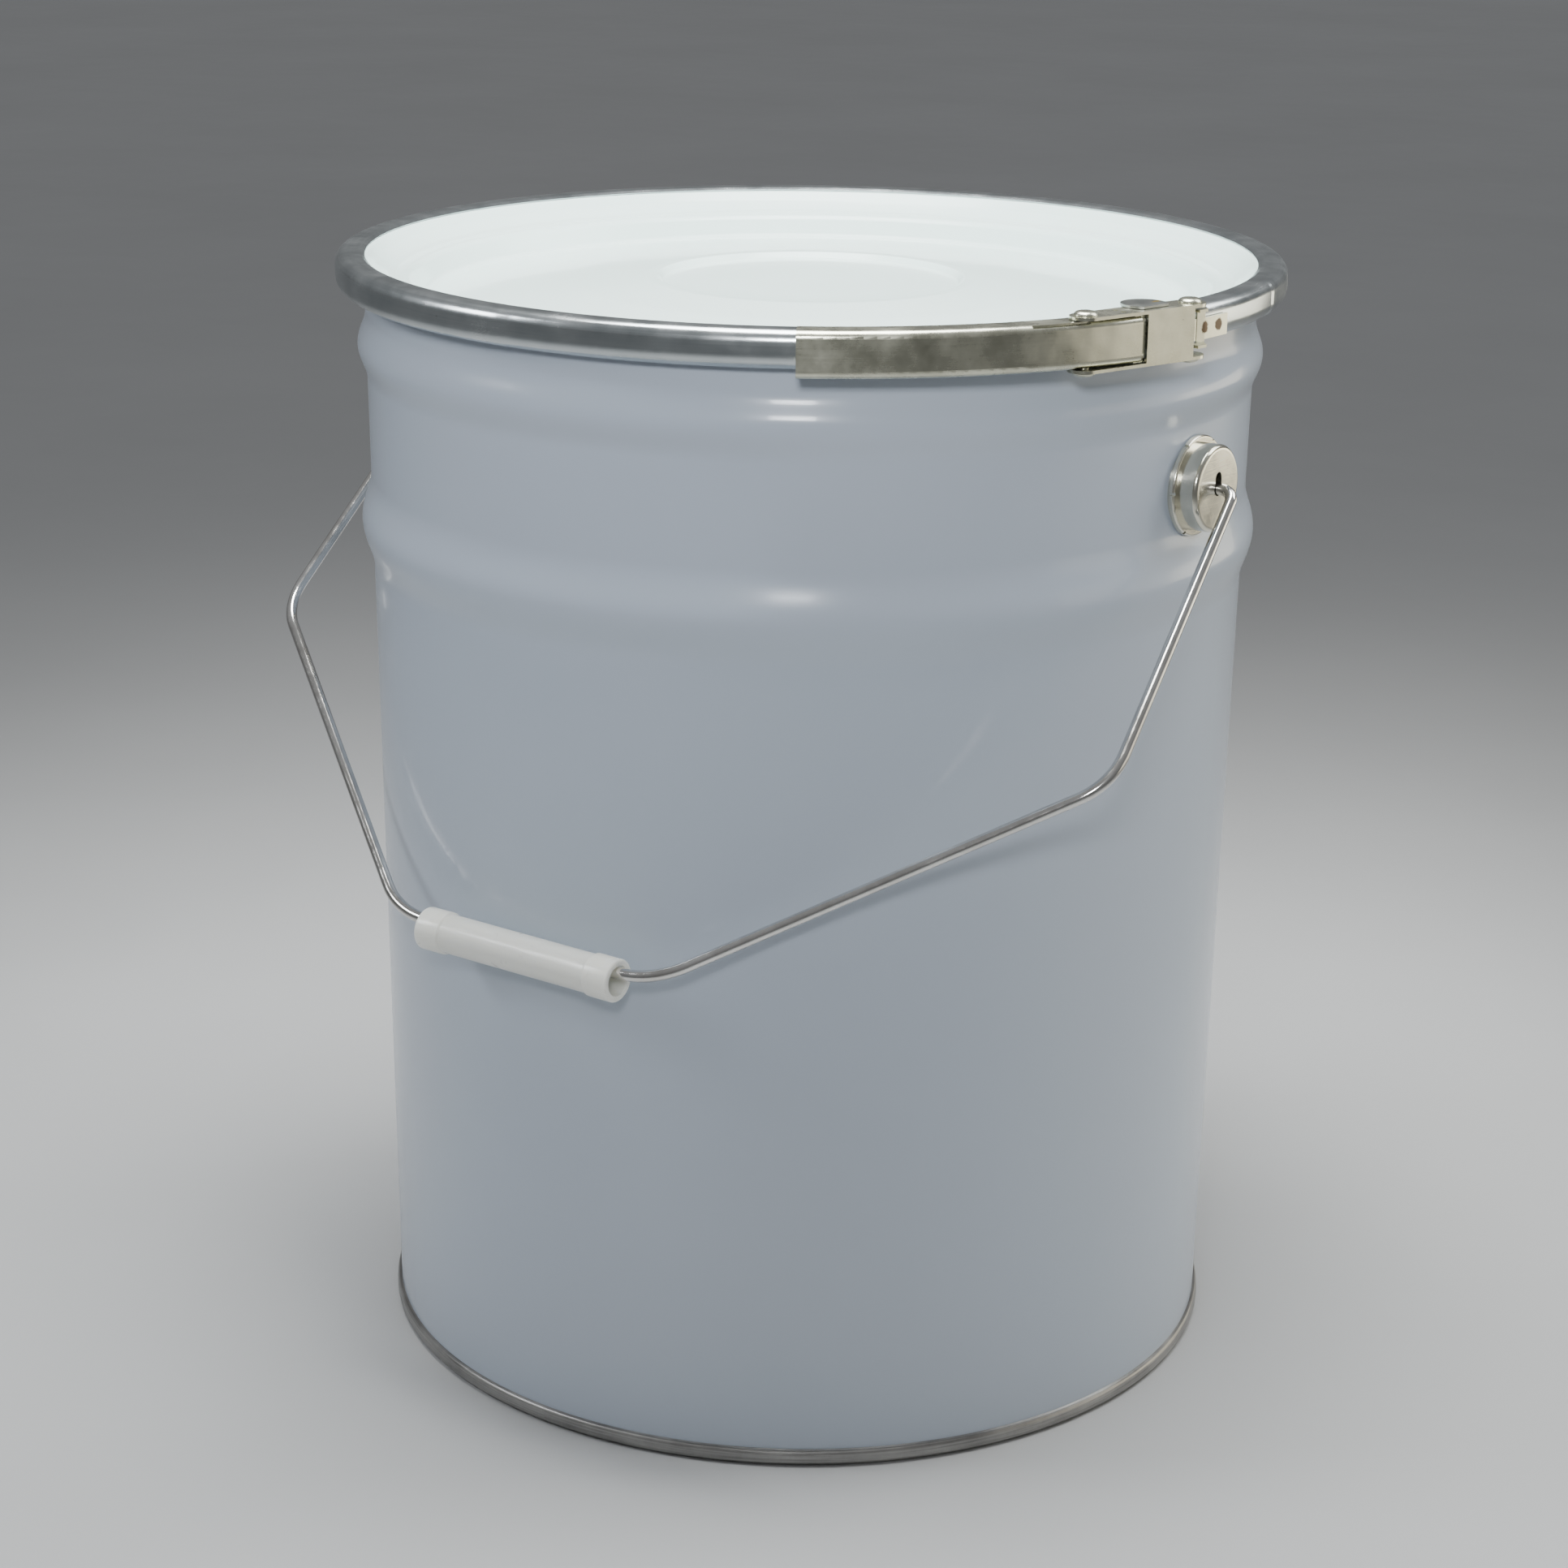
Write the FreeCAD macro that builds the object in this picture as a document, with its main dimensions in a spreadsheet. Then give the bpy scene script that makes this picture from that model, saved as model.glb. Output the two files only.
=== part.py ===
import FreeCAD, Part
import math
import os
import Sketcher

# A conical steel pail with a lift-off lid, held down by a lever-lock closing ring, and a wire bail.
# Origin: the pail's axis at floor level. +Z is up, the bail's ears are on the X axis, and the bail
# hangs towards -Y. An azimuth is measured in degrees from -Y towards +X, seen from above.

# Driving dimensions, in millimetres and degrees. Heights are above the floor.
SIZES = {
    # Body shell
    "body_sheet": 0.6,
    "body_base_radius": 147.5,
    "body_taper": 0.0106,
    "body_foot": 1.2,
    "low_bead_height": 292.0,
    "low_bead_half": 16.0,
    "low_bead_swell": 3.6,
    "top_bead_height": 352.3,
    "top_bead_half": 11.2,
    "top_bead_swell": 3.0,
    "curl_height": 376.3,
    "curl_radius": 3.1,
    # Bottom end and its double seam
    "seam_radius": 149.0,
    "seam_height": 6.0,
    "seam_sheet": 0.6,
    "seam_hook_radius": 147.85,
    "chuck_radius": 146.6,
    "end_panel_height": 5.0,
    # Lid
    "lid_sheet": 0.6,
    "lid_rim_radius": 158.1,
    "lid_skirt_foot": 374.5,
    "lid_top": 381.8,
    "lid_corner": 1.2,
    "lid_mouth_radius": 150.4,
    "lid_mouth_round": 1.6,
    "slope_foot_radius": 144.4,
    "slope_foot_height": 376.0,
    "ledge_radius": 141.6,
    "ledge_height": 375.0,
    "step_radius": 136.0,
    "step_drop": 1.8,
    "step_round": 2.6,
    "panel_radius": 129.8,
    "panel_height": 366.95,
    "crown_radius": 52.4,
    "crown_height": 373.75,
    "crown_bulge": 0.5,
    "dish_radius": 48.4,
    "dish_height": 371.75,
    "gasket_inner_radius": 151.6,
    "gasket_outer_radius": 157.2,
    "gasket_foot": 379.75,
    "gasket_height": 1.4,
    # Closing ring
    "ring_sheet": 1.0,
    "ring_mouth_radius": 151.0,
    "ring_radius": 161.0,
    "ring_top": 383.2,
    "ring_foot": 371.2,
    "ring_top_round": 3.8,
    "ring_foot_round": 5.0,
    "ring_lip_radius": 154.2,
    "ring_back_azimuth": -102.0,
    "ring_back_gap": 0.1,
    "ring_hinge_end_azimuth": 75.6,
    "ring_tab_end_azimuth": 77.4,
    # Latch: the pivots stand on one circle just outside the ring
    "pivot_radius": 163.8,
    "link_rivet_azimuth": 65.2,
    "hinge_pin_azimuth": 73.2,
    "tab_rivet_azimuth": 80.3,
    "rivet_radius": 1.8,
    "hinge_pin_radius": 1.7,
    "running_gap": 0.05,
    "rivet_head_radius": 3.7,
    "rivet_head_height": 1.4,
    "lever_sheet": 0.9,
    "lever_start_azimuth": 33.6,
    "lever_wall_end_azimuth": 71.9,
    "lever_radius": 167.5,
    "lever_flange_radius": 158.8,
    "lever_top": 384.4,
    "lever_foot": 370.0,
    "lever_round": 2.4,
    "lever_ear_half": 3.4,
    "lever_ear_start": 6.0,
    "latch_ear_height": 2.2,
    "slit_start_azimuth": 58.3,
    "slit_inner_radius": 165.9,
    "slit_outer_radius": 167.0,
    "slit_floor": 382.6,
    "link_sheet": 1.0,
    "link_top": 385.7,
    "link_foot": 368.7,
    "link_half_width": 5.0,
    "link_wall_start": 21.2,
    "link_wall_setback": 2.4,
    "link_dimple_azimuth": 70.0,
    "link_dimple_spread": 1.8,
    "link_dimple_radius": 0.8,
    "bracket_sheet": 0.9,
    "bracket_ear_half": 3.0,
    "bracket_start_azimuth": 66.6,
    "bracket_end_azimuth": 75.2,
    "bracket_ear_top": 383.2,
    "bracket_ear_foot": 371.2,
    "bracket_web_top": 379.3,
    "bracket_web_foot": 372.6,
    "tab_start_azimuth": 82.0,
    "tab_end_azimuth": 88.8,
    "tab_seat_radius": 2.4,
    "tab_hook_height": 2.2,
    "tab_hook_shoulder": 6.5,
    "tab_hook_root": 10.5,
    "tongue_sheet": 0.7,
    "tongue_top": 386.6,
    "tongue_centre_radius": 159.8,
    "tongue_nose_radius": 7.4,
    "tongue_front_radius": 165.0,
    "tongue_front_half": 5.2,
    "tongue_riser_radius": 154.0,
    "tongue_riser_half": 4.0,
    "tongue_azimuth": 74.5,
    # Bail ears
    "ear_height": 322.0,
    "ear_plate_radius": 15.3,
    "ear_plate_root": 147.0,
    "ear_plate_face": 152.4,
    "ear_rim_radius": 16.5,
    "ear_rim_root": 151.5,
    "ear_cup_radius": 14.2,
    "ear_cup_face": 160.0,
    "ear_cup_round": 1.6,
    "ear_cup_sheet": 0.8,
    "ear_hole_radius": 2.4,
    "ear_slot_half": 2.0,
    "ear_slot_height": 3.4,
    "ear_crimps": 6,
    "ear_crimp_half": 0.5,
    "ear_crimp_radius": 15.6,
    "ear_wall_gap": 0.02,
    # Bail wire and grip. Distances along the bail are measured from the ears' axis.
    "wire_radius": 1.95,
    "bail_tilt": 47.4,
    "bail_ear_offset": 166.0,
    "bail_hook_radius": 5.0,
    "bail_tail": 156.0,
    "bail_button_radius": 4.0,
    "bail_button_height": 1.6,
    "bail_bend_offset": 172.5,
    "bail_bend_reach": 112.0,
    "bail_bend_radius": 22.0,
    "bail_corner_offset": 53.0,
    "bail_corner_radius": 34.0,
    "bail_reach": 214.5,
    "grip_length": 80.0,
    "grip_radius": 6.5,
    "grip_collar_radius": 7.1,
    "grip_collar_length": 10.0,
    "grip_bore_radius": 5.0,
    "grip_sag": 2.7,
}

doc = FreeCAD.newDocument("pail")
sheet = doc.addObject("Spreadsheet::Sheet", "Sizes")
for row, (alias, value) in enumerate(SIZES.items(), start=1):
    sheet.set("A%d" % row, alias)
    sheet.set("B%d" % row, str(value))
    sheet.setAlias("B%d" % row, alias)
doc.recompute()


# ---------------------------------------------------------------------------------------------
# Expressions. Each helper gives the text of an expression on the sheet's cells.

def cell(alias):
    return "Sizes." + alias


def plus(*terms):
    return "(" + " + ".join("(%s)" % term for term in terms) + ")"


def less(first, second):
    return "((%s) - (%s))" % (first, second)


def part_of(factor, term):
    return "(%.6f * (%s))" % (factor, term)


def value_of(text):
    """The number that an expression gives now."""
    return float(doc.getObject("Sizes").evalExpression(text))


def wall(height):
    """Radius of the pail's outer face at a height, without beads."""
    return plus(cell("body_base_radius"), "%s * (%s)" % (cell("body_taper"), height))


def polar(radius, azimuth, start):
    """Point at a radius and azimuth, in a frame whose X axis points along the azimuth start."""
    turn = "((%s) - (%s)) * 1 deg" % (azimuth, start)
    return ("(%s) * cos(%s)" % (radius, turn), "(%s) * sin(%s)" % (radius, turn))


def beside(azimuth, start, along, outward):
    """Point near the pivot at an azimuth, moved along the ring and outward from the axis."""
    turn = "((%s) - (%s)) * 1 deg" % (azimuth, start)
    radius = plus(cell("pivot_radius"), outward)
    x_text = "(%s) * cos(%s) - (%s) * sin(%s)" % (radius, turn, along, turn)
    y_text = "(%s) * sin(%s) + (%s) * cos(%s)" % (radius, turn, along, turn)
    return (x_text, y_text)


# ---------------------------------------------------------------------------------------------
# Sketch tools

def new_body(label):
    body = doc.addObject("PartDesign::Body", label)
    body.Label = label
    return body


def new_sketch(body, role, name, lift=None):
    """Sketch on one of the body's origin planes, raised off it by the expression lift."""
    sketch = body.newObject("Sketcher::SketchObject", name)
    plane = next(item for item in body.Origin.OriginFeatures if item.Role == role)
    sketch.AttachmentSupport = [(plane, "")]
    sketch.MapMode = "FlatFace"
    if lift is not None:
        sketch.setExpression("AttachmentOffset.Base.z", lift)
    doc.recompute()
    return sketch


def pin_point(sketch, geometry, corner, place):
    """Hold a point of the sketch at a pair of expressions."""
    axis_names = ("DistanceX", "DistanceY")
    across = (-2, -1)
    for kind, text, zero_axis in zip(axis_names, place, across):
        size = value_of(text)
        if abs(size) < 1e-9:
            sketch.addConstraint(Sketcher.Constraint("PointOnObject", geometry, corner, zero_axis))
            continue
        if size > 0:
            index = sketch.addConstraint(Sketcher.Constraint(kind, -1, 1, geometry, corner, size))
            sketch.setExpression("Constraints[%d]" % index, text)
        else:
            index = sketch.addConstraint(Sketcher.Constraint(kind, geometry, corner, -1, 1, -size))
            sketch.setExpression("Constraints[%d]" % index, "-(%s)" % text)


def vector_at(place):
    return FreeCAD.Vector(value_of(place[0]), value_of(place[1]), 0)


def draw_outline(sketch, steps):
    """Closed outline. A step is (end) for a line, or (middle, end) for an arc through middle.
    The first step is the start point. A line closes the outline where no arc does."""
    start = steps[0][-1]
    here = vector_at(start)
    ends = []
    closing = [] if steps[-1][-1] == start else [(start,)]
    for step in list(steps[1:]) + closing:
        there = vector_at(step[-1])
        if len(step) == 1:
            geometry = sketch.addGeometry(Part.LineSegment(here, there), False)
            ends.append((geometry, 1, 2, step[-1]))
        else:
            middle = vector_at(step[0])
            if (middle - here).cross(there - middle).z > 0:
                geometry = sketch.addGeometry(Part.Arc(here, middle, there), False)
                ends.append((geometry, 1, 2, step[-1]))
            else:
                geometry = sketch.addGeometry(Part.Arc(there, middle, here), False)
                ends.append((geometry, 2, 1, step[-1]))
            point = sketch.addGeometry(Part.Point(middle), True)
            sketch.addConstraint(Sketcher.Constraint("PointOnObject", point, 1, geometry))
            pin_point(sketch, point, 1, step[0])
        here = there
    for number, (geometry, first, last, place) in enumerate(ends):
        following = ends[(number + 1) % len(ends)]
        sketch.addConstraint(Sketcher.Constraint("Coincident", geometry, last, following[0], following[1]))
        pin_point(sketch, geometry, last, place)


def draw_circle(sketch, place, radius):
    centre = vector_at(place)
    circle = sketch.addGeometry(Part.Circle(centre, FreeCAD.Vector(0, 0, 1), value_of(radius)), False)
    pin_point(sketch, circle, 3, place)
    index = sketch.addConstraint(Sketcher.Constraint("Radius", circle, value_of(radius)))
    sketch.setExpression("Constraints[%d]" % index, radius)


def sheet_steps(steps, thickness):
    """Outline of a bent sheet from one face of it. Each point is (r, z, facing), where facing is
    the direction in degrees, in the r-z plane, in which the other face lies."""
    def other(point):
        angle = math.radians(point[2])
        shift_r = part_of(math.cos(angle), thickness)
        shift_z = part_of(math.sin(angle), thickness)
        return (plus(point[0], shift_r), plus(point[1], shift_z))

    face = [tuple(point[:2] for point in step) for step in steps]
    back = [(other(steps[-1][-1]),)]
    for number in range(len(steps) - 1, 0, -1):
        middle = [other(point) for point in steps[number][:-1]]
        back.append(tuple(middle + [other(steps[number - 1][-1])]))
    return face + back


# ---------------------------------------------------------------------------------------------
# Feature tools. A drawing is a function that draws on a sketch.

def outline(steps):
    return lambda sketch: draw_outline(sketch, steps)


def circle(place, radius):
    return lambda sketch: draw_circle(sketch, place, radius)


def revolve(body, steps, name, angle=None, plane="XZ_Plane", axis="V_Axis"):
    """Turn an outline about an axis of its plane: the body's Z axis, unless another is given."""
    sketch = new_sketch(body, plane, name + "_profile")
    draw_outline(sketch, steps)
    feature = body.newObject("PartDesign::Revolution", name)
    feature.Profile = sketch
    feature.ReferenceAxis = (sketch, [axis])
    feature.Angle = 360.0
    if angle is not None:
        feature.setExpression("Angle", angle)
    doc.recompute()
    return feature


def pad(body, drawing, name, foot, height, plane="XY_Plane"):
    """Raise a drawing from a level on the plane's normal by a height."""
    sketch = new_sketch(body, plane, name + "_outline", foot)
    drawing(sketch)
    feature = body.newObject("PartDesign::Pad", name)
    feature.Profile = sketch
    feature.setExpression("Length", height)
    doc.recompute()
    return feature


def pocket(body, drawing, name, level, depth=None, plane="XY_Plane"):
    """Cut against the plane's normal from a level, through everything unless a depth is given."""
    before = body.Shape.Volume
    sketch = new_sketch(body, plane, name + "_outline", level)
    drawing(sketch)
    feature = body.newObject("PartDesign::Pocket", name)
    feature.Profile = sketch
    if depth is None:
        feature.Type = 1
    else:
        feature.setExpression("Length", depth)
    doc.recompute()
    if not body.Shape.Volume < before - 0.01:
        raise RuntimeError("pocket %s cuts nothing" % name)
    return feature


def turn_to(body, azimuth):
    """Turn a body's X axis to an azimuth."""
    body.Placement = FreeCAD.Placement(FreeCAD.Vector(0, 0, 0), FreeCAD.Rotation(FreeCAD.Vector(0, 0, 1), 1))
    body.setExpression("Placement.Rotation.Angle", "((%s) - 90) * 1 deg" % azimuth)


# ---------------------------------------------------------------------------------------------
# Pail body

def bead(prefix, inset, upward):
    """Steps of one rounded bead on the wall: a hollow, the crest, and a hollow."""
    centre = cell(prefix + "_height")
    half = cell(prefix + "_half")
    swell = cell(prefix + "_swell")

    def at(share, rise):
        height = plus(centre, part_of(share, half))
        return (less(plus(wall(height), part_of(rise, swell)), inset), height)

    rising = [
        (at(-1, 0),),
        (at(-0.75, 0.125), at(-0.5, 0.5)),
        (at(0, 1), at(0.5, 0.5)),
        (at(0.75, 0.125), at(1, 0)),
    ]
    if upward:
        return rising
    return [
        (at(1, 0),),
        (at(0.75, 0.125), at(0.5, 0.5)),
        (at(0, 1), at(-0.5, 0.5)),
        (at(-0.75, 0.125), at(-1, 0)),
    ]


def build_body_shell():
    body = new_body("body_shell")
    gauge = cell("body_sheet")
    foot = cell("body_foot")
    height = cell("curl_height")
    outer = cell("curl_radius")
    inner = less(outer, gauge)
    centre = plus(wall(height), inner)
    slant = math.sqrt(0.5)

    def on_curl(radius, right, up):
        return (plus(centre, part_of(right, radius)), plus(height, part_of(up, radius)))

    steps = [((wall(foot), foot),)]
    steps += bead("low_bead", "0", True)
    steps += bead("top_bead", "0", True)
    steps += [
        (on_curl(inner, -1, 0),),
        (on_curl(inner, slant, slant), on_curl(inner, 0, -1)),
        (on_curl(outer, 0, -1),),
        (on_curl(outer, slant, slant), on_curl(outer, -1, 0)),
    ]
    steps += bead("top_bead", gauge, False)
    steps += bead("low_bead", gauge, False)
    steps += [((less(wall(foot), gauge), foot),)]
    revolve(body, steps, "shell")
    return body


def build_bottom_end():
    """Recessed end panel with its edge folded round the foot of the wall as a double seam."""
    body = new_body("bottom_end")
    gauge = cell("seam_sheet")
    outer = cell("seam_radius")
    top = cell("seam_height")
    chuck = cell("chuck_radius")
    hook = cell("seam_hook_radius")
    panel = cell("end_panel_height")
    inner = less(outer, gauge)
    chuck_inner = less(chuck, gauge)
    near_corner = part_of(1 - math.sqrt(0.5), gauge)
    steps = [
        (("0", panel),),
        ((chuck_inner, panel),),
        ((chuck_inner, gauge),),
        ((plus(chuck_inner, near_corner), near_corner), (chuck, "0")),
        ((inner, "0"),),
        ((less(outer, near_corner), near_corner), (outer, gauge)),
        ((outer, less(top, gauge)),),
        ((less(outer, near_corner), less(top, near_corner)), (inner, top)),
        ((hook, top),),
        ((hook, less(top, gauge)),),
        ((inner, less(top, gauge)),),
        ((inner, gauge),),
        ((chuck, gauge),),
        ((chuck, plus(panel, gauge)),),
        (("0", plus(panel, gauge)),),
    ]
    revolve(body, steps, "end")
    return body


def build_seam_compound():
    """Sealing compound between the seam's outer fold and the foot of the wall."""
    body = new_body("bottom_seam_compound")
    gauge = cell("seam_sheet")
    outer = less(cell("seam_radius"), plus(gauge, "0.05"))
    inner = plus(wall(cell("seam_height")), "0.03")
    top = less(cell("seam_height"), plus(gauge, "0.05"))
    foot = plus(gauge, "0.1")
    steps = [((inner, foot),), ((outer, foot),), ((outer, top),), ((inner, top),)]
    revolve(body, steps, "compound")
    return body


# ---------------------------------------------------------------------------------------------
# Lid

def build_lid():
    body = new_body("lid")
    rim = cell("lid_rim_radius")
    top = cell("lid_top")
    corner = cell("lid_corner")
    mouth = cell("lid_mouth_radius")
    mouth_round = cell("lid_mouth_round")
    slant = 1 - math.sqrt(0.5)
    ledge = cell("ledge_height")
    step = cell("step_radius")
    step_round = cell("step_round")
    panel_radius = cell("panel_radius")
    panel = cell("panel_height")
    crown = cell("crown_radius")
    crown_top = cell("crown_height")
    dish = cell("dish_radius")
    dish_floor = cell("dish_height")
    mouth_inner = plus(mouth, mouth_round)
    wall_top = (less(step, step_round), less(ledge, cell("step_drop")))
    wall_foot = (plus(panel_radius, "2.1"), plus(panel, "1.65"))
    steps = [
        ((rim, cell("lid_skirt_foot"), 180),),
        ((rim, less(top, corner), 180),),
        ((less(rim, part_of(slant, corner)), less(top, part_of(slant, corner)), 225),
         (less(rim, corner), top, 270)),
        ((mouth_inner, top, 270),),
        ((plus(mouth, part_of(slant, mouth_round)), less(top, part_of(slant, mouth_round)), 315),
         (mouth, less(top, mouth_round), 0)),
        ((cell("slope_foot_radius"), cell("slope_foot_height"), 305),),
        ((plus(cell("ledge_radius"), "1.5"), plus(ledge, "0.25"), 288), (cell("ledge_radius"), ledge, 270)),
        ((step, ledge, 270),),
        ((less(step, "1.4"), less(ledge, "0.4"), 305), wall_top + (343,)),
        (wall_foot + (343,),),
        ((plus(panel_radius, "1.3"), plus(panel, "0.5"), 305), (panel_radius, panel, 270)),
        ((part_of(0.5, plus(panel_radius, crown)),
          plus(part_of(0.5, plus(panel, crown_top)), cell("crown_bulge")), 270), (crown, crown_top, 270)),
        ((less(crown, "1.2"), less(crown_top, "0.2"), 290), (less(crown, "2"), less(crown_top, "0.75"), 320)),
        ((plus(dish, "1.2"), plus(dish_floor, "0.35"), 320),),
        ((plus(dish, "0.7"), plus(dish_floor, "0.1"), 295), (dish, dish_floor, 270)),
        (("0", dish_floor, 270),),
    ]
    revolve(body, sheet_steps(steps, cell("lid_sheet")), "pressing")
    return body


def build_lid_gasket():
    """Flowed-in rubber ring under the lid's rim, above the pail's curl."""
    body = new_body("lid_gasket")
    inner = cell("gasket_inner_radius")
    outer = cell("gasket_outer_radius")
    foot = cell("gasket_foot")
    top = plus(foot, cell("gasket_height"))
    revolve(body, [((inner, foot),), ((outer, foot),), ((outer, top),), ((inner, top),)], "gasket")
    return body


# ---------------------------------------------------------------------------------------------
# Closing ring

def ring_steps():
    """Channel open towards the axis: it covers the lid's rim and hooks under the pail's curl."""
    radius = cell("ring_radius")
    top = cell("ring_top")
    foot = cell("ring_foot")
    top_round = cell("ring_top_round")
    foot_round = cell("ring_foot_round")
    slant = 1 - math.sqrt(0.5)
    steps = [
        ((cell("ring_mouth_radius"), top, 270),),
        ((less(radius, top_round), top, 270),),
        ((less(radius, part_of(slant, top_round)), less(top, part_of(slant, top_round)), 225),
         (radius, less(top, top_round), 180)),
        ((radius, plus(foot, foot_round), 180),),
        ((less(radius, part_of(slant, foot_round)), plus(foot, part_of(slant, foot_round)), 135),
         (less(radius, foot_round), foot, 90)),
        ((cell("ring_lip_radius"), foot, 90),),
    ]
    return sheet_steps(steps, cell("ring_sheet"))


def build_ring_half(label, start, end):
    body = new_body(label)
    revolve(body, ring_steps(), "band", "((%s) - (%s)) * 1 deg" % (end, start))
    turn_to(body, start)
    return body


def build_ring_halves():
    back = cell("ring_back_azimuth")
    gap = cell("ring_back_gap")
    halves = [
        ("closing_ring_hinge_half", plus(back, gap), cell("ring_hinge_end_azimuth")),
        ("closing_ring_tab_half", cell("ring_tab_end_azimuth"), less(plus(back, "360"), gap)),
    ]
    return [build_ring_half(label, start, end) for label, start, end in halves]


# ---------------------------------------------------------------------------------------------
# Latch

def outward_ear(azimuth, start, half, root):
    """Ear that stands out from a bracket's web, with bevelled corners beyond its pivot."""
    foot = less(root, cell("pivot_radius"))
    height = cell("latch_ear_height")
    bevel = part_of(0.5, half)
    return [
        (beside(azimuth, start, "-(%s)" % half, foot),),
        (beside(azimuth, start, half, foot),),
        (beside(azimuth, start, half, less(height, bevel)),),
        (beside(azimuth, start, bevel, height),),
        (beside(azimuth, start, "-(%s)" % bevel, height),),
        (beside(azimuth, start, "-(%s)" % half, less(height, bevel)),),
    ]


def web_steps():
    """Section of a strap that lies against the ring's outer wall."""
    inner = cell("ring_radius")
    foot = cell("bracket_web_foot")
    top = cell("bracket_web_top")
    outer = plus(inner, cell("bracket_sheet"))
    return [((inner, foot),), ((outer, foot),), ((outer, top),), ((inner, top),)]


def build_hinge_bracket():
    """Bracket welded to the ring's hinge end. Its two ears hold the lever's pin."""
    body = new_body("hinge_bracket")
    start = cell("bracket_start_azimuth")
    azimuth = cell("hinge_pin_azimuth")
    gauge = cell("bracket_sheet")
    half = cell("bracket_ear_half")
    wall_radius = cell("ring_radius")
    web_depth = less(plus(wall_radius, gauge), cell("pivot_radius"))
    web_root = less(wall_radius, cell("pivot_radius"))
    strap = "((%s) - (%s)) * 1 deg" % (cell("bracket_end_azimuth"), start)
    revolve(body, web_steps(), "web", strap)
    riser = [
        (beside(azimuth, start, "-(%s)" % half, web_root),),
        (beside(azimuth, start, half, web_root),),
        (beside(azimuth, start, half, web_depth),),
        (beside(azimuth, start, "-(%s)" % half, web_depth),),
    ]
    foot = cell("bracket_ear_foot")
    top = cell("bracket_ear_top")
    pad(body, outline(riser), "riser", foot, less(top, foot))
    ear = outward_ear(azimuth, start, half, plus(wall_radius, part_of(0.5, gauge)))
    pad(body, outline(ear), "upper_ear", less(top, gauge), gauge)
    pad(body, outline(ear), "lower_ear", foot, gauge)
    centre = beside(azimuth, start, "0", "0")
    hole = plus(cell("hinge_pin_radius"), cell("running_gap"))
    pocket(body, circle(centre, hole), "pin_hole", plus(top, "5"))
    turn_to(body, start)
    return body


def build_tab_bracket():
    """Bracket welded to the ring's other end. Its hooked ears take the pull of the link's rivet."""
    body = new_body("tab_bracket")
    start = cell("tab_start_azimuth")
    azimuth = cell("tab_rivet_azimuth")
    gauge = cell("bracket_sheet")
    seat = cell("tab_seat_radius")
    height = cell("tab_hook_height")
    shoulder = cell("tab_hook_shoulder")
    root = cell("tab_hook_root")
    base = less(plus(cell("ring_radius"), part_of(0.5, gauge)), cell("pivot_radius"))
    strap = "((%s) - (%s)) * 1 deg" % (cell("tab_end_azimuth"), start)
    revolve(body, web_steps(), "web", strap)
    hook = [
        (beside(azimuth, start, root, base),),
        (beside(azimuth, start, shoulder, height),),
        (beside(azimuth, start, seat, height),),
        (beside(azimuth, start, seat, "0"),),
        (beside(azimuth, start, part_of(math.cos(math.radians(25)), seat),
                part_of(-math.sin(math.radians(25)), seat)),
         beside(azimuth, start, part_of(math.cos(math.radians(50)), seat),
                part_of(-math.sin(math.radians(50)), seat))),
        (beside(azimuth, start, shoulder, base),),
    ]
    foot = cell("bracket_ear_foot")
    top = cell("bracket_ear_top")
    side = [
        (beside(azimuth, start, shoulder, base),),
        (beside(azimuth, start, root, base),),
        (beside(azimuth, start, root, plus(base, part_of(0.5, gauge))),),
        (beside(azimuth, start, shoulder, plus(base, part_of(0.5, gauge))),),
    ]
    pad(body, outline(side), "riser", foot, less(top, foot))
    pad(body, outline(hook), "upper_hook", less(top, gauge), gauge)
    pad(body, outline(hook), "lower_hook", foot, gauge)
    turn_to(body, start)
    return body


def build_tongue():
    """Keeper tongue on the ring's hinge end. Its round nose lies over the link, towards the lid."""
    body = new_body("keeper_tongue")
    azimuth = cell("tongue_azimuth")
    gauge = cell("tongue_sheet")
    top = cell("tongue_top")
    nose = cell("tongue_nose_radius")
    centre = less(cell("tongue_centre_radius"), cell("pivot_radius"))
    front = less(cell("tongue_front_radius"), cell("pivot_radius"))
    front_half = cell("tongue_front_half")

    def near(along, outward):
        return beside(azimuth, azimuth, along, outward)

    plate = [
        (near(front_half, front),),
        (near("-(%s)" % front_half, front),),
        (near("0", less(centre, nose)), near(front_half, front)),
    ]
    riser_half = cell("tongue_riser_half")
    root = less(cell("tongue_riser_radius"), cell("pivot_radius"))
    riser = [
        (near("-(%s)" % riser_half, root),),
        (near(riser_half, root),),
        (near(riser_half, plus(root, gauge)),),
        (near("-(%s)" % riser_half, plus(root, gauge)),),
    ]
    pad(body, outline(plate), "plate", less(top, gauge), gauge)
    pad(body, outline(riser), "riser", cell("ring_top"), less(top, cell("ring_top")))
    turn_to(body, azimuth)
    return body


def build_hinge_pin():
    """Flush pin through the lever's flanges and the hinge bracket's ears."""
    body = new_body("hinge_pin")
    azimuth = cell("hinge_pin_azimuth")
    foot = cell("lever_foot")
    centre = beside(azimuth, azimuth, "0", "0")
    pad(body, circle(centre, cell("hinge_pin_radius")), "pin", foot, less(cell("lever_top"), foot))
    turn_to(body, azimuth)
    return body


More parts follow.
